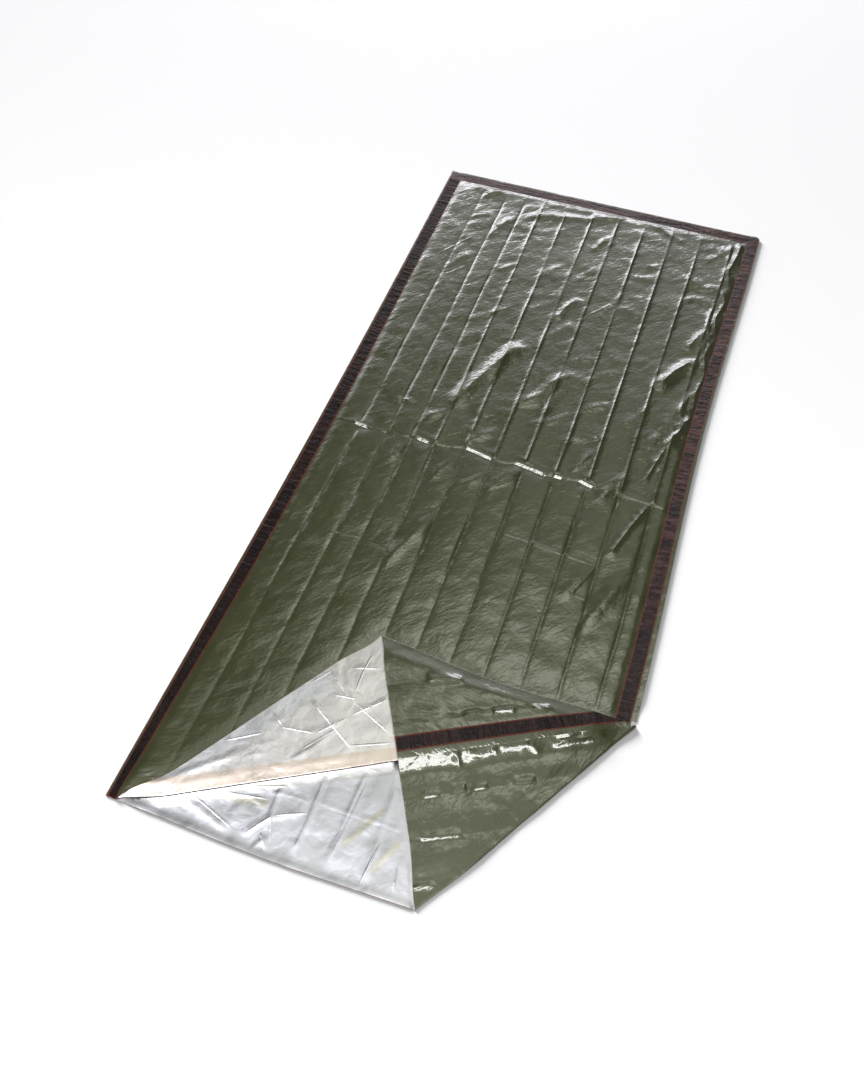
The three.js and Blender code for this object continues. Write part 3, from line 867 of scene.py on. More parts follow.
def corner(x, y):
    """Rise of the lower panel's turned-over corner above its level, where it lies."""
    from_seam = side(seam_line, x, y)
    from_near_fold = side(over_line, *mirror(over_line, x, y))
    reach = ease(seam_along(x, y) / SEAM_GROWS) * (0.2 + 0.8 * ease(from_near_fold / (50 * MM)))
    seam_height = TOP_LEVEL - CORNER_LEVEL + (SEAM_TOP + CREST_ABOVE) * MM * reach
    shiny = ease((seam_along(x, y) - SHINY_FROM) / 0.03)
    fall = from_table(from_seam, SOFT_SLOPE) * (1 - shiny) + from_table(from_seam, SHINY_SLOPE) * shiny
    arch = 1.4 * MM * beside_seam(from_seam) * ease((from_seam - 30 * MM) / 0.03)
    arch *= 0.3 + 0.7 * ease(from_near_fold / 0.06)
    crush = 0.7 * MM * facets(x, y, 0.042, 25) + 0.22 * MM * facets(x, y, 0.016, 26)
    shape = seam_height * fall + arch + crush * ease(from_seam / (6 * MM))
    return shape + wrinkles(x, y, GLINTS_CORNER, 1.0)


seam_rise = (TOP_LEVEL - CORNER_LEVEL) / MM + SEAM_TOP + CREST_ABOVE
print("at the seam the corner stands", round(seam_rise, 1), "mm above its own level")

# %% [markdown]
# ## Drawing in and rounding off
# Pleats take up width, so the sides of the bag draw in between its corners. The film beside them has
# to come along, or it would bunch up. A share that falls off quickly across the bag does this. The
# far right-hand corner of the film is cut round, and the cells are squeezed there to fit.

# %% Draw in the sides and round the corner
ROUND_CORNER = 16 * MM


def drawn_in(u, v):
    """The sides of the bag draw in between their corners, and take the film beside them along."""
    share = (u - LEFT) / WIDTH
    left_part = np.sin(np.pi * (v - MOUTH) / LENGTH)
    right_part = np.sin(np.pi * np.maximum(0.0, v - fold_end[1]) / (HEAD - fold_end[1])) ** 2
    return u + LEFT_DRAW * left_part * (1 - share) ** 4 - RIGHT_DRAW * right_part * share ** 5


def before_drawing(x, y):
    """The place on the pattern that ends up at x, y."""
    u = x
    for _ in range(4):
        u = u + x - drawn_in(u, y)
    return u


def rounded(u, v):
    """The far right-hand corner of the bag is cut round. The cells there are squeezed to fit."""
    a = np.clip((u - RIGHT + ROUND_CORNER) / ROUND_CORNER, 0.0, 1.0)
    b = np.clip((v - HEAD + ROUND_CORNER) / ROUND_CORNER, 0.0, 1.0)
    moved_u = u - ROUND_CORNER * a * (1.0 - np.sqrt(1.0 - b * b / 2))
    moved_v = v - ROUND_CORNER * b * (1.0 - np.sqrt(1.0 - a * a / 2))
    return moved_u, moved_v


right_middle = (HEAD + fold_end[1]) / 2
print("the right side draws in by", round((RIGHT - drawn_in(RIGHT, right_middle)) / MM, 1), "mm")

# %% [markdown]
# ## Settling on the floor
# Laid down and smoothed, the bag's edges bow a little. A few soft pushes do that. They act after the
# folding and move all layers alike, so layers that lie on each other can't cross.

# %% Settle the edges
# at: where the push acts; by and reach: how far it moves the film and how far it spreads, in mm
PUSHES = [
    {"at": (-0.405, -1.02), "by": (-18, 0), "reach": (30, 390)},
    {"at": (-0.385, -0.975), "by": (-8, 0), "reach": (30, 40)},
    {"at": (-0.105, -0.545), "by": (9, 0), "reach": (40, 40)},
    {"at": (0.15, -0.530), "by": (0, -13), "reach": (170, 45)},
    {"at": (0.155, -0.99), "by": (-9, 0), "reach": (60, 60)},
    {"at": (-0.12, -1.0), "by": (0, -9), "reach": (230, 30)},
]
EDGE_LIFT = 3.2 * MM


def settled(x, y):
    """Soft pushes that bow the edges. They move all layers alike, so no layers cross."""
    moved_x, moved_y = x + 0.0, y + 0.0
    for push in PUSHES:
        (at_x, at_y), (reach_x, reach_y) = push["at"], push["reach"]
        away = ((x - at_x) / reach_x) ** 2 + ((y - at_y) / reach_y) ** 2
        share = np.exp(-away / MM ** 2)
        moved_x += push["by"][0] * MM * share
        moved_y += push["by"][1] * MM * share
    return moved_x, moved_y


def edge_lift(u, v):
    """Along the right-hand tape the edge stands a little off the floor."""
    return EDGE_LIFT * ease((u - RIGHT + 0.040) / 0.04) * ease((v - fold_end[1] - 0.02) / 0.05)


print(len(PUSHES), "pushes of up to", max(math.hypot(*push["by"]) for push in PUSHES), "mm")

# %% [markdown]
# ## From the pattern to the place
# A place goes through the same steps as the real film: draw in, fold over, fold back, settle. Each
# step takes places and gives places, so the steps can be checked one by one. Film that has passed
# both folds of the upper panel lies wholly beyond the second bend, so a plain mirror carries it.

# %% Place both panels
def place_upper(u, v, h, rise):
    """Carries places of the upper panel over its two folds."""
    round_u, round_v = rounded(u, v)
    x, y, z = roll(drawn_in(round_u, v), round_v, h + rise, over_line, OVER_RADIUS, -1)
    on_flap = side(over_line, u, v) > 0
    rolled = roll(x, y, z, under_line, UNDER_RADIUS, 1)
    turned = mirror(under_line, x, y) + (2 * UNDER_RADIUS - z,)
    x, y, z = (np.where(on_flap, t, r) for t, r in zip(turned, rolled))
    return np.stack([*settled(x, y), z + UPPER_LEVEL + edge_lift(u, v)], -1)


def place_lower(u, v, h, rise):
    """Carries places of the lower panel over its one fold."""
    round_u, round_v = rounded(u, v)
    x, y, z = roll(drawn_in(round_u, v), round_v, h + rise, over_line, CORNER_RADIUS, 1)
    return np.stack([*settled(x, y), z + LOWER_LEVEL + edge_lift(u, v)], -1)


mouth_corner = place_upper(np.array([RIGHT - NOTCH]), np.array([MOUTH]), 0.0, 0.0)[0]
print("the mouth's right corner lands near", np.round(mouth_corner, 3))

# %% [markdown]
# ## Patterns of both panels
# The listed folds are given where they lie, and the vertices have to be pulled onto them on the
# pattern. So each table is carried back over the folds first. Then both patterns are made, the lower
# one with a few extra cuts where it lifts beside the fold at the mouth.

# %% Patterns of both panels
FOLD_CUTS = 8
LIFT_CUTS = 2
LIFT_FROM_FOLD = 0.8 * MM
LIFT_RADIUS = 0.7 * MM


def on_pattern(table, unfold):
    """The same table with its paths carried back from where they lie to the flat pattern."""
    return [{**row, "path": [unfold(*place) for place in row["path"]]} for row in table]


PUCKERS = on_pattern(PUCKERS, lambda x, y: (before_drawing(x, y), y))
upper_table = PUCKERS + on_pattern(GLINTS_TOP, lambda x, y: mirror(over_line, *mirror(under_line, x, y)))
upper_table += on_pattern(SILVER_TOP, lambda x, y: mirror(under_line, x, y))
lower_table = SILVER_FLOOR + on_pattern(GLINTS_CORNER, lambda x, y: mirror(over_line, x, y))
upper_folds = [(under_line, UNDER_RADIUS, FOLD_CUTS), (over_line, OVER_RADIUS, FOLD_CUTS)]
across_fold = np.array([-under_line["along"][1], under_line["along"][0]])
across_fold *= np.sign(side(under_line, *(under_line["through"] + across_fold)))
lift_line = line(under_line["through"] - LIFT_FROM_FOLD * across_fold, under_line["along"])
lower_folds = [(over_line, CORNER_RADIUS, FOLD_CUTS), (lift_line, LIFT_RADIUS, LIFT_CUTS)]

upper_cells = pattern_mesh(*column_marks(COLUMN_STEP), UPPER_ROWS, upper_folds, upper_table)
upper_places, upper_faces = as_arrays(without_notch(upper_cells))
lower_cells = pattern_mesh(*column_marks(LOWER_STEP), LOWER_ROWS, lower_folds, lower_table)
lower_places, lower_faces = as_arrays(lower_cells)
print("upper pattern", len(upper_faces), "faces, lower pattern", len(lower_faces), "faces")

# %% [markdown]
# ## Rise of the upper panel
# Three regions of one pattern get three kinds of height: the large face with its pleats and puckers,
# the silver flap, and the olive flap. The face is held flat under the tapes, and pressed down under
# the turned-back corner. Where the middle crease is steep, all other heights fade out beside it, as
# that face is plane on the real film.

# %% Rise of the upper panel
# over these lengths, in metres, the film gets free of each tape and of the turned-back corner
LEFT_HOLD = 0.014
RIGHT_HOLD = 0.009
HEAD_HOLD = 0.010
HEAD_FADE = 0.03
FLAP_HOLD = 0.04
COVERED = 0.3
LEAST_RISE = 0.8 * MM


def main_rise(u, v):
    """Rise of the large olive face. The last number of a facets call is its stretch."""
    in_tapes = ease((u - mark_at(LEFT_TAPE["inner"], v)) / LEFT_HOLD)
    in_tapes *= ease((mark_at(RIGHT_TAPE["inner"], v) - u) / RIGHT_HOLD)
    from_head = ease((HEAD_TAPE[0] - v) / HEAD_HOLD)
    from_flap = np.maximum(-side(far_fold, u, v), side(mouth_fold, u, v))
    uncovered = COVERED + (1 - COVERED) * ease((from_flap + 0.01) / FLAP_HOLD)
    crush = 1.0 * MM * (1 + facets(u, v, 0.036, 31, 1.5)) + 0.5 * MM * (1 + facets(u, v, 0.018, 32, 1.6))
    crush *= 0.75 + 0.25 * ease((v + 0.1) / 0.25)
    from_face = np.abs(v - MIDDLE - middle_wander(u) + MIDDLE_FACE / 2)
    pressed = steepness(u) * (1 - ease((from_face - MIDDLE_FACE) / (12 * MM)))
    shape = (pleats(u, v) * ease((HEAD_TAPE[0] - v + 0.01) / 0.09) + crush) * (1 - pressed)
    shape = np.maximum(shape + LEAST_RISE, 0.0) * ease((HEAD_TAPE[0] - v) / HEAD_FADE)
    shape += middle_crease(u, v) + wrinkles(u, v, PUCKERS)
    return np.maximum(shape, 0.0) * in_tapes * from_head * uncovered


def upper_rise(u, v):
    """How far the upper panel stands off its level, towards its olive face."""
    rise = np.zeros(u.shape)
    back = side(under_line, u, v) > 0
    over = side(over_line, u, v) > 0
    rise[~back] = main_rise(u[~back], v[~back])
    first = back & ~over
    rise[first] = -silver_flap(*mirror(under_line, u[first], v[first]))
    rise[over] = olive_flap(*mirror(under_line, *mirror(over_line, u[over], v[over])))
    return rise


upper_rises = upper_rise(upper_places[:, 0], upper_places[:, 1])
print("the upper panel rises up to", round(upper_rises.max() / MM, 1), "mm")

# %% [markdown]
# ## Rise of the lower panel
# The lower panel lies on the floor. Only its silver side at the open mouth and its turned-over corner
# show, so only they are crumpled. Beside the fold above it the silver film lifts to meet it, and its
# cut edge curls up a little as a lip.

# %% Rise of the lower panel
# each row: distance in metres from the fold or from the mouth's edge, then height in mm
LIFT = [(-0.0019, 0.0), (0.0003, 3.6), (0.018, 0.4), (0.03, 0.0)]
LIP = [(0.0, 1.8), (0.003, 1.7), (0.010, 0.3), (0.016, 0.0)]


def mouth_rise(u, v):
    """Creases of the lower panel's silver side at the open mouth, and its lift beside the fold."""
    open_part = side(under_line, u, v) > -0.02
    rise = np.zeros(u.shape)
    x, y = u[open_part], v[open_part]
    to_fold = side(under_line, x, y)
    crush = 0.6 * MM * (1 + facets(x, y, 0.055, 41)) + 0.15 * MM * (1 + facets(x, y, 0.022, 42))
    shape = (crush + wrinkles(x, y, SILVER_FLOOR, 1.0)) * ease((to_fold - 0.002) / 0.02)
    lift = MM * from_table(to_fold, LIFT) * ease((x - fold_start[0] - 0.01) / 0.05)
    lip = MM * from_table(y - MOUTH, LIP) * ease((x - fold_start[0] - 0.01) / 0.04)
    shape *= ease((y - MOUTH + 0.004) / 0.012)
    rise[open_part] = (shape + lift + lip) * ease(-side(corner_edge, x, y) / 0.010)
    return rise


on_corner = side(over_line, lower_places[:, 0], lower_places[:, 1]) > 0
lower_rises = mouth_rise(lower_places[:, 0], lower_places[:, 1])
lower_rises[on_corner] = -corner(*mirror(over_line, *lower_places[on_corner].T))
print("the lower panel rises up to", round(abs(lower_rises).max() / MM, 1), "mm")

# %% [markdown]
# ## Cells cut along their crests
# A four-sided cell with four different heights isn't plane, and Blender would cut it into triangles
# along a diagonal of its own choice. On slanting crests that makes a row of teeth. So each cell is
# cut here along its higher diagonal.

# %% Cut the cells along their crests
def split_along_crests(faces, rises):
    """Cuts each four-sided face along its higher diagonal, so that slanting crests stay straight."""
    made = []
    for f in faces:
        if len(f) < 4:
            made.append(f)
        elif abs(rises[f[0]]) + abs(rises[f[2]]) > abs(rises[f[1]]) + abs(rises[f[3]]):
            made += [[f[0], f[1], f[2]], [f[0], f[2], f[3]]]
        else:
            made += [[f[0], f[1], f[3]], [f[1], f[2], f[3]]]
    return made


upper_faces = split_along_crests(upper_faces, upper_rises)
lower_faces = split_along_crests(lower_faces, lower_rises)
print(len(upper_faces), "and", len(lower_faces), "triangles in the two patterns")

# %% [markdown]
# ## A closed sheet from a pattern
# A sheet has an upper face, a lower face and a rim. A solidify modifier could give that too, but here
# both faces are placed from the pattern at two heights, so they keep their distance through every
# fold and can have different finishes. The place on the flat pattern is kept with each vertex, and
# finishes follow the film by it. A second value marks edges and folds that are worn.

# %% The sheet maker
CRISP_FROM = 22
WORN_BESIDE = 2.2 * MM


def keep(mesh, name, kind, key, values):
    """Keeps one value or vector with each vertex of a mesh."""
    mesh.attributes.new(name, kind, "POINT").data.foreach_set(key, values)


def sheet(name, places, faces, rises, place, low, high, materials, wear_lines=(), worn_rim=False):
    """materials: of the face at high, of the face at low, and of the cut rim."""
    count = len(places)
    u, v = places.T
    points = np.concatenate([place(u, v, np.full(count, h), rises) for h in (high, low)])
    seen = dict.fromkeys((a, b) for face in faces for a, b in zip(face, face[1:] + face[:1]))
    rim = [(a, b) for a, b in seen if (b, a) not in seen]
    polygons = [tuple(f) for f in faces]
    polygons += [tuple(k + count for k in reversed(f)) for f in faces]
    polygons += [(b, a, a + count, b + count) for a, b in rim]
    mesh = bpy.data.meshes.new(name)
    mesh.from_pydata(points.tolist(), [], polygons)
    for material in materials:
        mesh.materials.append(material)
    part = np.repeat(np.arange(3, dtype=np.int32), [len(faces), len(faces), len(rim)])
    mesh.polygons.foreach_set("material_index", part)
    mesh.shade_smooth()
    flat = np.zeros((2 * count, 3), dtype=np.float32)
    flat[:, :2] = np.concatenate([places, places])
    keep(mesh, "pattern", "FLOAT_VECTOR", "vector", flat.ravel())
    worn = np.zeros(count)
    for fold in wear_lines:
        worn = np.maximum(worn, np.exp(-(side(fold, u, v) / WORN_BESIDE) ** 2))
    for k in {k for edge in rim for k in edge}:
        if worn_rim or places[k][1] < MOUTH + 1 * MM:
            worn[k] = 1.0
    keep(mesh, "rim", "FLOAT", "value", np.concatenate([worn, worn]).astype(np.float32))
    mesh.validate()
    mesh.set_sharp_from_angle(angle=math.radians(CRISP_FROM))
    made = bpy.data.objects.new(name, mesh)
    scene.collection.objects.link(made)
    print(name, sum(len(p) - 2 for p in polygons), "triangles")
    return made


print("edges sharper than", CRISP_FROM, "degrees stay crisp")

# %% [markdown]
# ## Finishes as small graphs of nodes
# The film gets its look from its shape, from a fine crumple and from what it mirrors. A painted image
# would stretch over the folds and show its own grain. So each finish is a graph of procedural nodes
# that reads the place on the flat pattern. These helpers make the nodes; the sky uses them as well.

# %% Adding nodes
def connect(tree, node, inputs):
    """Gives each input of a node a number or a colour, or a link from another node's output."""
    for name, value in inputs.items():
        if isinstance(value, bpy.types.NodeSocket):
            tree.links.new(value, node.inputs[name])
        else:
            node.inputs[name].default_value = value
    return node


def add(tree, kind, inputs):
    """Adds a node with its inputs."""
    return connect(tree, tree.nodes.new("ShaderNode" + kind), inputs)


def new_material(name):
    """A material with its tree of nodes and its shader."""
    material = bpy.data.materials.new(name)
    material.use_nodes = True
    return material, material.node_tree, material.node_tree.nodes["Principled BSDF"]


def blend(tree, operation, a, b):
    """A sum, product or the like of two values."""
    made = add(tree, "Math", {0: a, 1: b})
    made.operation = operation
    return made.outputs[0]


def fade(tree, value, low, high, at_low, at_high):
    """A smooth change from one number to another while the value goes from low to high."""
    made = add(tree, "MapRange", {"Value": value, "From Min": low, "From Max": high,
                                  "To Min": at_low, "To Max": at_high})
    made.interpolation_type = "SMOOTHSTEP"
    return made.outputs["Result"]


def mixed(tree, share, below, above):
    """The colour below, changed to the one above where share is 1."""
    made = tree.nodes.new("ShaderNodeMix")
    made.data_type = "RGBA"
    return connect(tree, made, {"Factor": share, "A": below, "B": above}).outputs["Result"]


def tinted(tree, share, below, colour):
    """The same for a colour of three parts."""
    return mixed(tree, share, below, (*colour, 1.0))


print("helpers that add a node: add, blend, fade, mixed and tinted")

# %% [markdown]
# ## Patterns of nodes
# Noise gives soft blotches and ripples. The net of facets is the look of foil that was crushed and
# smoothed: a Voronoi node measures the distance to the edges of its cells, and as a height this makes
# small roofs with crisp creases. Noise bends the net first, or its cells would be too regular.

# %% Patterns of nodes
def pattern_coordinates(tree, across, along, turn=0.0):
    """Places on the flat pattern, stretched along an axis that is turned by so many degrees."""
    place = tree.nodes.new("ShaderNodeAttribute")
    place.attribute_name = "pattern"
    stretched = add(tree, "Mapping", {"Vector": place.outputs["Vector"]})
    stretched.vector_type = "TEXTURE"
    return connect(tree, stretched, {
        "Scale": (1.0 / across, 1.0 / along, 1.0), "Rotation": (0.0, 0.0, math.radians(turn)),
    }).outputs["Vector"]


def noise(tree, coordinates, scale, detail=3.0, roughness=0.55, warp=0.0):
    """Soft blotches. The scale says how many there are to a metre, more or less."""
    return add(tree, "TexNoise", {"Vector": coordinates, "Scale": scale, "Detail": detail,
                                  "Roughness": roughness, "Distortion": warp}).outputs["Fac"]


def ramp(tree, value, stops):
    """A colour ramp. stops: (place, colour) pairs, with a colour as one grey or three parts."""
    made = add(tree, "ValToRGB", {"Fac": value})
    elements = made.color_ramp.elements
    while len(elements) < len(stops):
        elements.new(0.5)
    for element, (place, colour) in zip(elements, stops):
        element.position = place
        element.color = (*colour, 1.0) if isinstance(colour, tuple) else (colour, colour, colour, 1.0)
    return made.outputs["Color"]


def bump(tree, height, distance, strength=1.0, below=None):
    """Lets a height tilt the light, on top of another bump if there is one below."""
    made = add(tree, "Bump", {"Height": height, "Distance": distance, "Strength": strength})
    if below is not None:
        connect(tree, made, {"Normal": below})
    return made.outputs["Normal"]


def roofs(tree, coordinates, scale, warp):
    """A net of small flat facets with crisp creases, like crumpled foil that was smoothed again."""
    bend = add(tree, "TexNoise", {"Vector": coordinates, "Scale": scale * 0.7, "Detail": 2.0})
    shifted = tree.nodes.new("ShaderNodeVectorMath")
    shifted.operation = "MULTIPLY_ADD"
    connect(tree, shifted, {0: bend.outputs["Color"], 1: (warp, warp, 0.0), 2: coordinates})
    cells = tree.nodes.new("ShaderNodeTexVoronoi")
    cells.voronoi_dimensions = "2D"
    cells.feature = "DISTANCE_TO_EDGE"
    connect(tree, cells, {"Vector": shifted.outputs["Vector"], "Scale": scale})
    return cells.outputs["Distance"]


print("patterns of nodes: noise, ramp, bump and roofs")

# %% [markdown]
# ## Stripes and worn edges
# Some marks belong to one place on the film: a pinched crease, a worn band. A mapping node moves and
# turns the pattern so that the mark lies along X between -1 and 1, and two soft ramps give it ends
# and sides. Worn edges come from the value that was kept with each vertex.

# %% Stripes and worn edges
def stripe(tree, coordinates, start, end, half_width, flat=(0.92, 0.75)):
    """1 along a straight stripe of the pattern, 0 away from it; flat says how far the 1 reaches."""
    place = tree.nodes.new("ShaderNodeMapping")
    place.vector_type = "TEXTURE"
    middle = [(a + b) / 2 for a, b in zip(start, end)]
    run = (end[0] - start[0], end[1] - start[1])
    connect(tree, place, {"Vector": coordinates, "Location": (*middle, 0.0),
                          "Rotation": (0.0, 0.0, math.atan2(run[1], run[0])),
                          "Scale": (math.hypot(*run) / 2, half_width, 1.0)})
    parts = add(tree, "SeparateXYZ", {0: place.outputs["Vector"]})
    sides = []
    for axis, inner in zip(("X", "Y"), flat):
        away = blend(tree, "ABSOLUTE", parts.outputs[axis], 0.0)
        sides.append(fade(tree, away, inner, 1.05, 1.0, 0.0))
    return blend(tree, "MULTIPLY", *sides)


def thin_lines(tree, coordinates, creases, half_width):
    """Height 1 along each of a list of straight creases, each from one place to another."""
    lines = None
    for start, end in creases:
        one = stripe(tree, coordinates, start, end, half_width, (0.5, 0.0))
        lines = one if lines is None else blend(tree, "MAXIMUM", lines, one)
    return lines


def rim_share(tree, inner, outer):
    """1 at cut edges and folds, from the value kept with each vertex."""
    kept = tree.nodes.new("ShaderNodeAttribute")
    kept.attribute_name = "rim"
    return ramp(tree, kept.outputs["Fac"], [(inner, 0.0), (outer, 1.0)])


print("marks in one place: stripe, thin_lines and rim_share")

# %% [markdown]
# ## The olive outside
# The olive side is dark from above and shines where it is seen at a slant. Bare metal would shine at
# every angle, so here a dark olive body lies under a strong, smooth coat. Its crumple is a sum of
# bumps, coarse to fine, and weaker in the mouth half, where the film was smoothed. A few thin creases
# are pinched in, listed one by one.

# %% The olive outside
OLIVE_CREASES = [
    [(-0.300, 0.110), (-0.230, 0.112)], [(0.062, -0.185), (0.205, -0.190)],
    [(-0.300, -0.315), (-0.225, -0.300)], [(-0.210, -0.310), (-0.150, -0.312)],
    [(0.120, -0.190), (0.290, -0.200)], [(0.240, -0.285), (0.300, -0.290)],
    [(0.250, -0.300), (0.290, -0.200)], [(-0.120, -0.230), (-0.080, -0.160)],
    [(-0.370, 0.640), (-0.300, 0.740)], [(-0.190, 0.430), (-0.100, 0.530)],
    [(-0.330, 0.560), (-0.280, 0.620)], [(0.070, 0.530), (0.130, 0.610)],
    [(0.020, 0.780), (0.055, 0.850)], [(0.145, 0.870), (0.200, 0.900)],
    [(0.000, -0.085), (0.055, -0.030)], [(-0.070, -0.090), (-0.015, -0.040)],
    [(0.215, -0.020), (0.290, 0.060)],
]
DARK_OLIVE = (0.037, 0.040, 0.014)
PALE_OLIVE = (0.047, 0.050, 0.018)
WORN_OLIVE = (0.16, 0.055, 0.03)


def olive_film():
    """Dark olive under a clear coat, crumpled most in the head half."""
    material, tree, shader = new_material("olive film")
    wide = pattern_coordinates(tree, 1.0, 1.0)
    slanting = pattern_coordinates(tree, 0.55, 1.0, 48.0)
    tint = ramp(tree, noise(tree, wide, 9.0, 4.0), [(0.3, DARK_OLIVE), (0.7, PALE_OLIVE)])
    gloss = ramp(tree, noise(tree, wide, 14.0, 4.0), [(0.3, 0.30), (0.7, 0.40)])
    parts = add(tree, "SeparateXYZ", {0: wide})
    head_half = fade(tree, parts.outputs["Y"], -0.15, 0.35, 0.52, 1.0)
    much = ramp(tree, noise(tree, wide, 7.0, 2.0), [(0.35, 0.35), (0.65, 1.0)])
    much = blend(tree, "MULTIPLY", much, head_half)
    net = blend(tree, "MULTIPLY", roofs(tree, slanting, 30.0, 0.03), much)
    grain = blend(tree, "MULTIPLY", noise(tree, slanting, 62.0, 4.0, 0.55, 0.8), head_half)
    specks = blend(tree, "MULTIPLY", roofs(tree, slanting, 105.0, 0.012), head_half)
    coarse = bump(tree, net, 1.6 * MM)
    soft = bump(tree, grain, 1.1 * MM, 0.8, coarse)
    fine = bump(tree, specks, 0.4 * MM, 1.0, soft)
    pinched = bump(tree, thin_lines(tree, wide, OLIVE_CREASES, 5 * MM), 0.45 * MM, 1.0, fine)
    connect(tree, shader, {
        "Base Color": tinted(tree, rim_share(tree, 0.80, 0.90), tint, WORN_OLIVE), "Roughness": gloss,
        "Normal": pinched, "Coat Normal": pinched,
        "Specular IOR Level": 0.6, "Specular Tint": (0.95, 1.0, 0.75, 1.0),
        "Coat Weight": 1.0, "Coat IOR": 1.7, "Coat Roughness": 0.09,
    })
    return material


OLIVE = olive_film()
print(OLIVE.name, "has", len(OLIVE.node_tree.nodes), "nodes")

# %% [markdown]
# ## The silver inside
# Bare metal is the simplest case: a metallic shader with a light, slightly lilac colour. Large facets
# come from the mesh, small ones from a bump, and pinched creases from thin lines. Broad stripes make
# the flap warmer along its fold, which is a painted warm reflection, and cooler along the mouth's edge.

# %% The silver inside
WORN_SILVER = (0.35, 0.18, 0.12)


def silver_film(name, low, high, tinted_places, thin_creases):
    """Metal between two colours, with tinted stripes and thin creases."""
    material, tree, shader = new_material(name)
    wide = pattern_coordinates(tree, 1.0, 1.0)
    tint = ramp(tree, noise(tree, wide, 11.0, 3.0), [(0.35, low), (0.7, high)])
    for start, end, half_width, colour in tinted_places:
        tint = tinted(tree, stripe(tree, wide, start, end, half_width), tint, colour)
    soft = bump(tree, noise(tree, wide, 45.0, 2.0, 0.5, 1.0), 0.5 * MM, 0.6)
    crumple = bump(tree, roofs(tree, wide, 24.0, 0.05), 0.5 * MM, 1.0, soft)
    pinched = bump(tree, thin_lines(tree, wide, thin_creases, 2.6 * MM), 0.32 * MM, 1.0, crumple)
    connect(tree, shader, {
        "Base Color": tinted(tree, rim_share(tree, 0.86, 0.93), tint, WORN_SILVER), "Metallic": 1.0,
        "Roughness": ramp(tree, noise(tree, wide, 20.0, 4.0), [(0.3, 0.27), (0.7, 0.38)]),
        "Normal": pinched,
    })
    return material


# painted reflection: the warm band along the flap's fold stands in for warm light that the silver mirrors
PAINTED_WARM_REFLECTION = (0.74, 0.64, 0.59)
LILAC = (0.77, 0.77, 0.83)
YELLOWISH = (0.54, 0.52, 0.49)
# painted shade: the strip beside the fold, where the lamp shines, is coloured darker than the film around
# it
PAINTED_SHADE_BY_FOLD = (0.46, 0.46, 0.47)
warm_reflection_band = turned_back([(-0.40, -0.973), (0.04, -0.742)])
mouth_band = turned_back([(-0.36, -0.93), (-0.16, -0.64)])
print("on the pattern the warm band starts at", np.round(warm_reflection_band[0], 3))

# %% [markdown]
# ## Thin creases of both silver faces
# Beside the creases of the mesh there are finer ones, a millimetre or two wide. As bumps they cost no
# vertices. They are placed one by one where the film was bent hardest. Those of the flap are given where
# they lie and carried back to the pattern.

# %% Thin creases of both silver faces
FLAP_CREASES = [
    [(-0.160, -0.700), (-0.045, -0.768)], [(-0.145, -0.800), (-0.095, -0.735)],
    [(-0.155, -0.622), (-0.100, -0.665)], [(-0.100, -0.665), (0.010, -0.712)],
    [(-0.130, -0.671), (-0.080, -0.664)], [(-0.080, -0.700), (-0.022, -0.642)],
    [(-0.200, -0.768), (-0.130, -0.758)], [(-0.130, -0.758), (-0.085, -0.708)],
    [(-0.120, -0.605), (-0.060, -0.585)], [(-0.095, -0.560), (-0.090, -0.650)],
    [(-0.225, -0.745), (-0.185, -0.772)], [(-0.290, -0.830), (-0.225, -0.790)],
    [(-0.180, -0.660), (-0.150, -0.620)], [(-0.060, -0.760), (0.020, -0.725)],
]
FLOOR_CREASES = [
    [(-0.200, -0.893), (-0.140, -0.872)], [(-0.300, -0.945), (-0.200, -0.975)],
    [(-0.180, -0.980), (-0.140, -0.930)], [(-0.140, -0.930), (-0.080, -0.905)],
    [(-0.240, -0.920), (-0.160, -0.905)], [(0.055, -0.995), (0.065, -0.90)],
    [(0.110, -0.940), (0.125, -0.985)], [(-0.150, -0.965), (-0.130, -0.985)],
    [(0.0, -0.80), (-0.012, -0.97)], [(-0.145, -0.93), (-0.125, -0.975)],
]
SILVER_BACK = silver_film(
    "silver film of the upper panel", (0.74, 0.72, 0.74), (0.81, 0.78, 0.81),
    [(*mouth_band, 0.030, LILAC), (*warm_reflection_band, 0.017, PAINTED_WARM_REFLECTION)],
    [turned_back(places) for places in FLAP_CREASES])
# the same film as the upper panel's, painted darker and bluer: painted shade against the lamp's shine
SILVER_FRONT_PAINTED_DARKER = silver_film(
    "silver film of the lower panel, painted darker", (0.52, 0.52, 0.575), (0.57, 0.57, 0.625),
    [((0.0, -0.94), (0.05, -0.85), 0.007, YELLOWISH),
     ((0.068, -0.965), (0.098, -0.90), 0.008, YELLOWISH),
     ((-0.23, -0.925), (-0.16, -0.915), 0.008, YELLOWISH),
     # painted shade along the bright strip beside the fold
     ((-0.40, -0.995), (0.045, -0.772), 0.009, PAINTED_SHADE_BY_FOLD)],
    FLOOR_CREASES)
print(len(FLAP_CREASES), "thin creases on the flap and", len(FLOOR_CREASES), "below it")

# %% [markdown]
# ## The cut edge
# Where the film was cut, its edge looks reddish brown. The edge is so thin that one rough colour with
# a little noise is enough. It is a finish of its own, because the rim belongs to neither face.

# %% The cut edge
def cut_edge():
    """Reddish brown, rough."""
    material, tree, shader = new_material("cut edge")
    spots = noise(tree, pattern_coordinates(tree, 1.0, 1.0), 40.0)
    tint = ramp(tree, spots, [(0.3, (0.20, 0.07, 0.04)), (0.7, (0.10, 0.05, 0.035))])
    connect(tree, shader, {"Base Color": tint, "Roughness": 0.5})
    return material


EDGE = cut_edge()
print(EDGE.name, "is ready")

# %% [markdown]
# ## The dark tape
# The tape is a dull plastic strip, maroon to nearly black. Streaks and ripples run across the side
# tapes, and noise that is squeezed in one direction gives both. The tape is darker in the mouth half,
# and worn to a lighter red along its edges. The left tape is a darker copy of the same finish:
# painted shade, which holds back the bright part of the room that it mirrors.

# %% The dark tape
MOUTH_HALF_DARK = (0.010, 0.003, 0.003)
WORN_TAPE = (0.13, 0.028, 0.016)


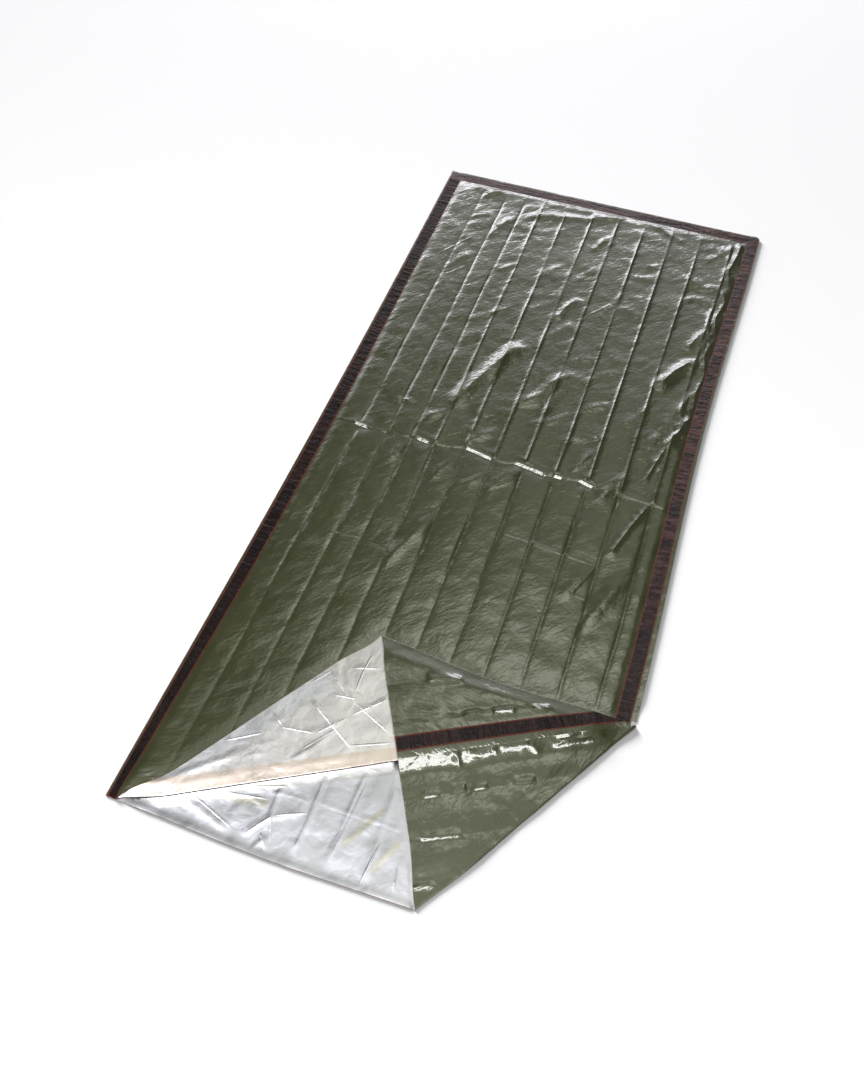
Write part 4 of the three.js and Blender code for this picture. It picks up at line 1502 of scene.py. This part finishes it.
def dark_tape(name, low, high, gloss):
    """Streaks between two colours, darker patches, and ripples across the tape."""
    material, tree, shader = new_material(name)
    wide = pattern_coordinates(tree, 1.0, 1.0)
    streaks = pattern_coordinates(tree, 0.16, 1.0)
    tint = ramp(tree, noise(tree, streaks, 110.0, 3.0, 0.6), [(0.40, low), (0.62, high)])
    parts = add(tree, "SeparateXYZ", {0: wide})
    tint = tinted(tree, fade(tree, parts.outputs["Y"], -0.45, 0.15, 0.8, 0.0), tint, MOUTH_HALF_DARK)
    patches = fade(tree, noise(tree, streaks, 26.0, 2.0), 0.50, 0.62, 0.0, 0.75)
    tint = tinted(tree, patches, tint, tuple(0.5 * c for c in low))
    ripples = bump(tree, noise(tree, streaks, 95.0, 3.0, 0.6), 5.0 * MM, 0.9)
    crumple = bump(tree, roofs(tree, wide, 70.0, 0.02), 1.2 * MM, 1.0, ripples)
    connect(tree, shader, {
        "Base Color": tinted(tree, rim_share(tree, 0.55, 0.75), tint, WORN_TAPE), "Roughness": 0.42,
        "Specular IOR Level": gloss, "Normal": crumple,
    })
    return material


# the left tape is a darker copy of the same finish: painted shade
DARK = dark_tape("left tape, painted darker", (0.003, 0.001, 0.001), (0.034, 0.011, 0.007), 0.14)
MAROON = dark_tape("maroon tape", (0.012, 0.003, 0.003), (0.115, 0.052, 0.045), 0.32)
print("two tapes:", DARK.name, "and", MAROON.name)

# %% [markdown]
# ## The two panels
# Both panels are closed sheets of the same film. The upper one has its olive face upwards, the lower
# one its silver face, so they face each other silver to silver. Their folds are a little worn.

# %% The two panels
upper_film = sheet("upper_film", upper_places, upper_faces, upper_rises, place_upper,
                   -FILM / 2, FILM / 2, (OLIVE, SILVER_BACK, EDGE), (over_line, under_line))
lower_film = sheet("lower_film", lower_places, lower_faces, lower_rises, place_lower,
                   -FILM / 2, FILM / 2, (SILVER_FRONT_PAINTED_DARKER, OLIVE, EDGE), (over_line,))

# %% [markdown]
# ## The three tapes
# Tape is pressed onto the film and follows its every wrinkle. Laying a flat strip over the bag would
# leave gaps or cut through. So each tape is cut out of the upper panel's own pattern and placed by
# the same function, a glue's thickness higher. It then folds with the corner by itself.

# %% The three tapes
def strip(name, finish, left_mark, right_mark, v_low, v_high):
    """A tape cut from the upper panel's own pattern, so that it lies on every fold and wrinkle."""
    middles = np.array([upper_places[f].mean(0) for f in upper_faces])
    u, v = middles.T
    inside = (u > mark_at(left_mark, v)) & (u < mark_at(right_mark, v)) & (v > v_low) & (v < v_high)
    chosen = [upper_faces[k] for k in np.flatnonzero(inside)]
    used = sorted({k for f in chosen for k in f})
    number = {k: n for n, k in enumerate(used)}
    low = FILM / 2 + GLUE
    return sheet(name, upper_places[used], [[number[k] for k in f] for f in chosen], upper_rises[used],
                 place_upper, low, low + TAPE, (finish, finish, finish), (), True)


left_tape = strip("left_tape", DARK, LEFT_TAPE["outer"], LEFT_TAPE["inner"], MOUTH, SIDE_TAPE_END)
right_tape = strip("right_tape", MAROON, RIGHT_TAPE["inner"], RIGHT_TAPE["outer"], MOUTH, SIDE_TAPE_END)
head_tape = strip("head_tape", MAROON, LEFT_TAPE["outer"], RIGHT_TAPE["outer"], *HEAD_TAPE)

# %% [markdown]
# ## The floor
# The bag lies on a pale, dull floor that fills the view. A shiny one would show the lamps. It lies
# just under the film, and it is only staging, not a piece of the bag.

# %% The floor
FLOOR_REACH = 15.0
FLOOR_LEVEL = -0.1 * MM
FLOOR_COLOUR = (0.535, 0.535, 0.545, 1.0)
floor_mesh = bpy.data.meshes.new("floor")
corner_ways = [(-1, -1), (1, -1), (1, 1), (-1, 1)]
floor_corners = [(x * FLOOR_REACH, y * FLOOR_REACH, FLOOR_LEVEL) for x, y in corner_ways]
floor_mesh.from_pydata(floor_corners, [], [(0, 1, 2, 3)])
floor = bpy.data.objects.new("floor", floor_mesh)
scene.collection.objects.link(floor)
floor_finish, tree, shader = new_material("pale floor")
connect(tree, shader, {"Base Color": FLOOR_COLOUR, "Roughness": 0.9, "Specular IOR Level": 0.0})
floor_mesh.materials.append(floor_finish)
print("the floor is", 2 * FLOOR_REACH, "m wide")

# %% [markdown]
# ## Lamps
# Film is lit by what it mirrors. A long window beyond the head end gives the pleats their bright
# sides, and a wide soft box overhead gives the turned-back corner its shine. A low sun falls on the
# floor alone, so that thin edges cast a soft shadow without lighting up the film.

# %% Lamps
def soft_box(name, place, aim, size, radiance, colour):
    """A rectangular lamp of so many metres, aimed at a place. The camera doesn't see it."""
    data = bpy.data.lights.new(name, "AREA")
    data.shape = "RECTANGLE"
    data.size, data.size_y = size
    data.energy = radiance * math.pi * size[0] * size[1]
    data.color = colour
    lamp = bpy.data.objects.new(name, data)
    lamp.location = place
    lamp.rotation_euler = (Vector(aim) - Vector(place)).to_track_quat("-Z", "Y").to_euler()
    lamp.visible_camera = False
    scene.collection.objects.link(lamp)
    return lamp


soft_box("window", (-1.1, 3.8, 1.25), (0.0, 0.2, 0.0), (2.8, 0.8), 5.2, (0.93, 0.91, 1.0))
soft_box("overhead", (-0.4, -1.1, 2.8), (-0.4, -0.9, 0.0), (3.8, 0.36), 12.0, (1.0, 1.0, 1.0))

SUN_HEIGHT = 15.0
SUN_SOFTNESS = 22.0
sun_data = bpy.data.lights.new("low sun", "SUN")
sun_data.energy = 14.0
sun_data.angle = math.radians(SUN_SOFTNESS)
low_sun = bpy.data.objects.new("low sun", sun_data)
sun_way = Vector((0.75, -0.66, -math.tan(math.radians(SUN_HEIGHT))))
low_sun.rotation_euler = sun_way.to_track_quat("-Z", "Y").to_euler()
scene.collection.objects.link(low_sun)
floor_only = bpy.data.collections.new("floor only")
floor_only.objects.link(floor)
low_sun.light_linking.receiver_collection = floor_only

# %% [markdown]
# ## The sky
# The rest of the room is a sky whose brightness depends on where one looks, as in a studio with pale
# and dark walls. Its ramps read the direction: X to the right, Y towards the head end, Z up. Low down
# it is bright and it darkens upwards and to both sides. A bright wall on the left, a bright ceiling
# and the glow of a lamp are added. Each part is a product of soft ramps, so each can be changed alone.

# %% The sky
world = bpy.data.worlds.new("studio")
scene.world = world
world.use_nodes = True
sky = world.node_tree
way = sky.nodes.new("ShaderNodeTexCoord").outputs["Generated"]
direction = add(sky, "SeparateXYZ", {0: way})


def towards(axis, low, high, at_low, at_high):
    """A soft ramp on one part of the direction."""
    return fade(sky, direction.outputs[axis], low, high, at_low, at_high)


def product(first, *others):
    """Multiplies values of the sky, from left to right."""
    for other in others:
        first = blend(sky, "MULTIPLY", first, other)
    return first


upper_left = product(towards("X", -0.36, 0.04, 0.94, 0.0), towards("Z", 0.56, 0.78, 0.0, 1.0))
walls = product(towards("Z", 0.52, 0.88, 0.86, 0.32), blend(sky, "SUBTRACT", 1.0, upper_left),
                towards("X", 0.04, 0.30, 1.0, 0.10))
left_low = blend(sky, "MAXIMUM", towards("X", -0.50, -0.34, 0.1, 1.0), towards("Y", 0.48, 0.62, 0.0, 1.0))
left_wall = product(towards("X", -0.60, -0.42, 1.7, 0.0), towards("Z", 0.66, 0.80, 1.0, 0.0),
                    towards("Y", 0.52, 0.68, 0.0, 1.0))
ceiling = product(towards("Z", 0.80, 0.925, 0.0, 1.32), towards("Z", 0.935, 0.962, 1.0, 0.25),
                  towards("X", -0.40, -0.10, 0.0, 1.0), towards("X", 0.10, 0.24, 1.0, 0.1))
lamp_glow = product(towards("Y", 0.325, 0.380, 0.0, 1.3), towards("Y", 0.40, 0.47, 1.0, 0.0),
                    towards("X", -0.17, -0.08, 0.0, 1.0), towards("X", 0.06, 0.16, 1.0, 0.0))
walls = blend(sky, "ADD", product(walls, left_low), left_wall)
ceiling = blend(sky, "ADD", ceiling, lamp_glow)

# the sky is a little cold low down and turns greenish yellow towards its top
colour = mixed(sky, towards("Z", 0.62, 0.84, 0.0, 1.0), (0.98, 0.97, 1.0, 1.0), (0.97, 1.0, 0.86, 1.0))
connect(sky, sky.nodes["Background"], {"Strength": blend(sky, "ADD", walls, ceiling), "Color": colour})
scene.view_settings.view_transform = "Standard"
print("the sky is made of", len(sky.nodes), "nodes")

# %% [markdown]
# ## Each piece on the root
# Each piece is attached to a body, and the plain part of the model that it stands in for is hidden.
# Nothing on this bag moves by itself, so all pieces ride on the root.

# %% Attach each piece to the root
for piece, node, material_slot in (
    (lower_film, "lower_panel", "film"),
    (upper_film, "upper_panel", "film"),
    (left_tape, "tape_left", "tape"),
    (right_tape, "tape_right", "tape"),
    (head_tape, "tape_head", "tape"),
):
    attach(piece, "root")
    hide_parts(node)
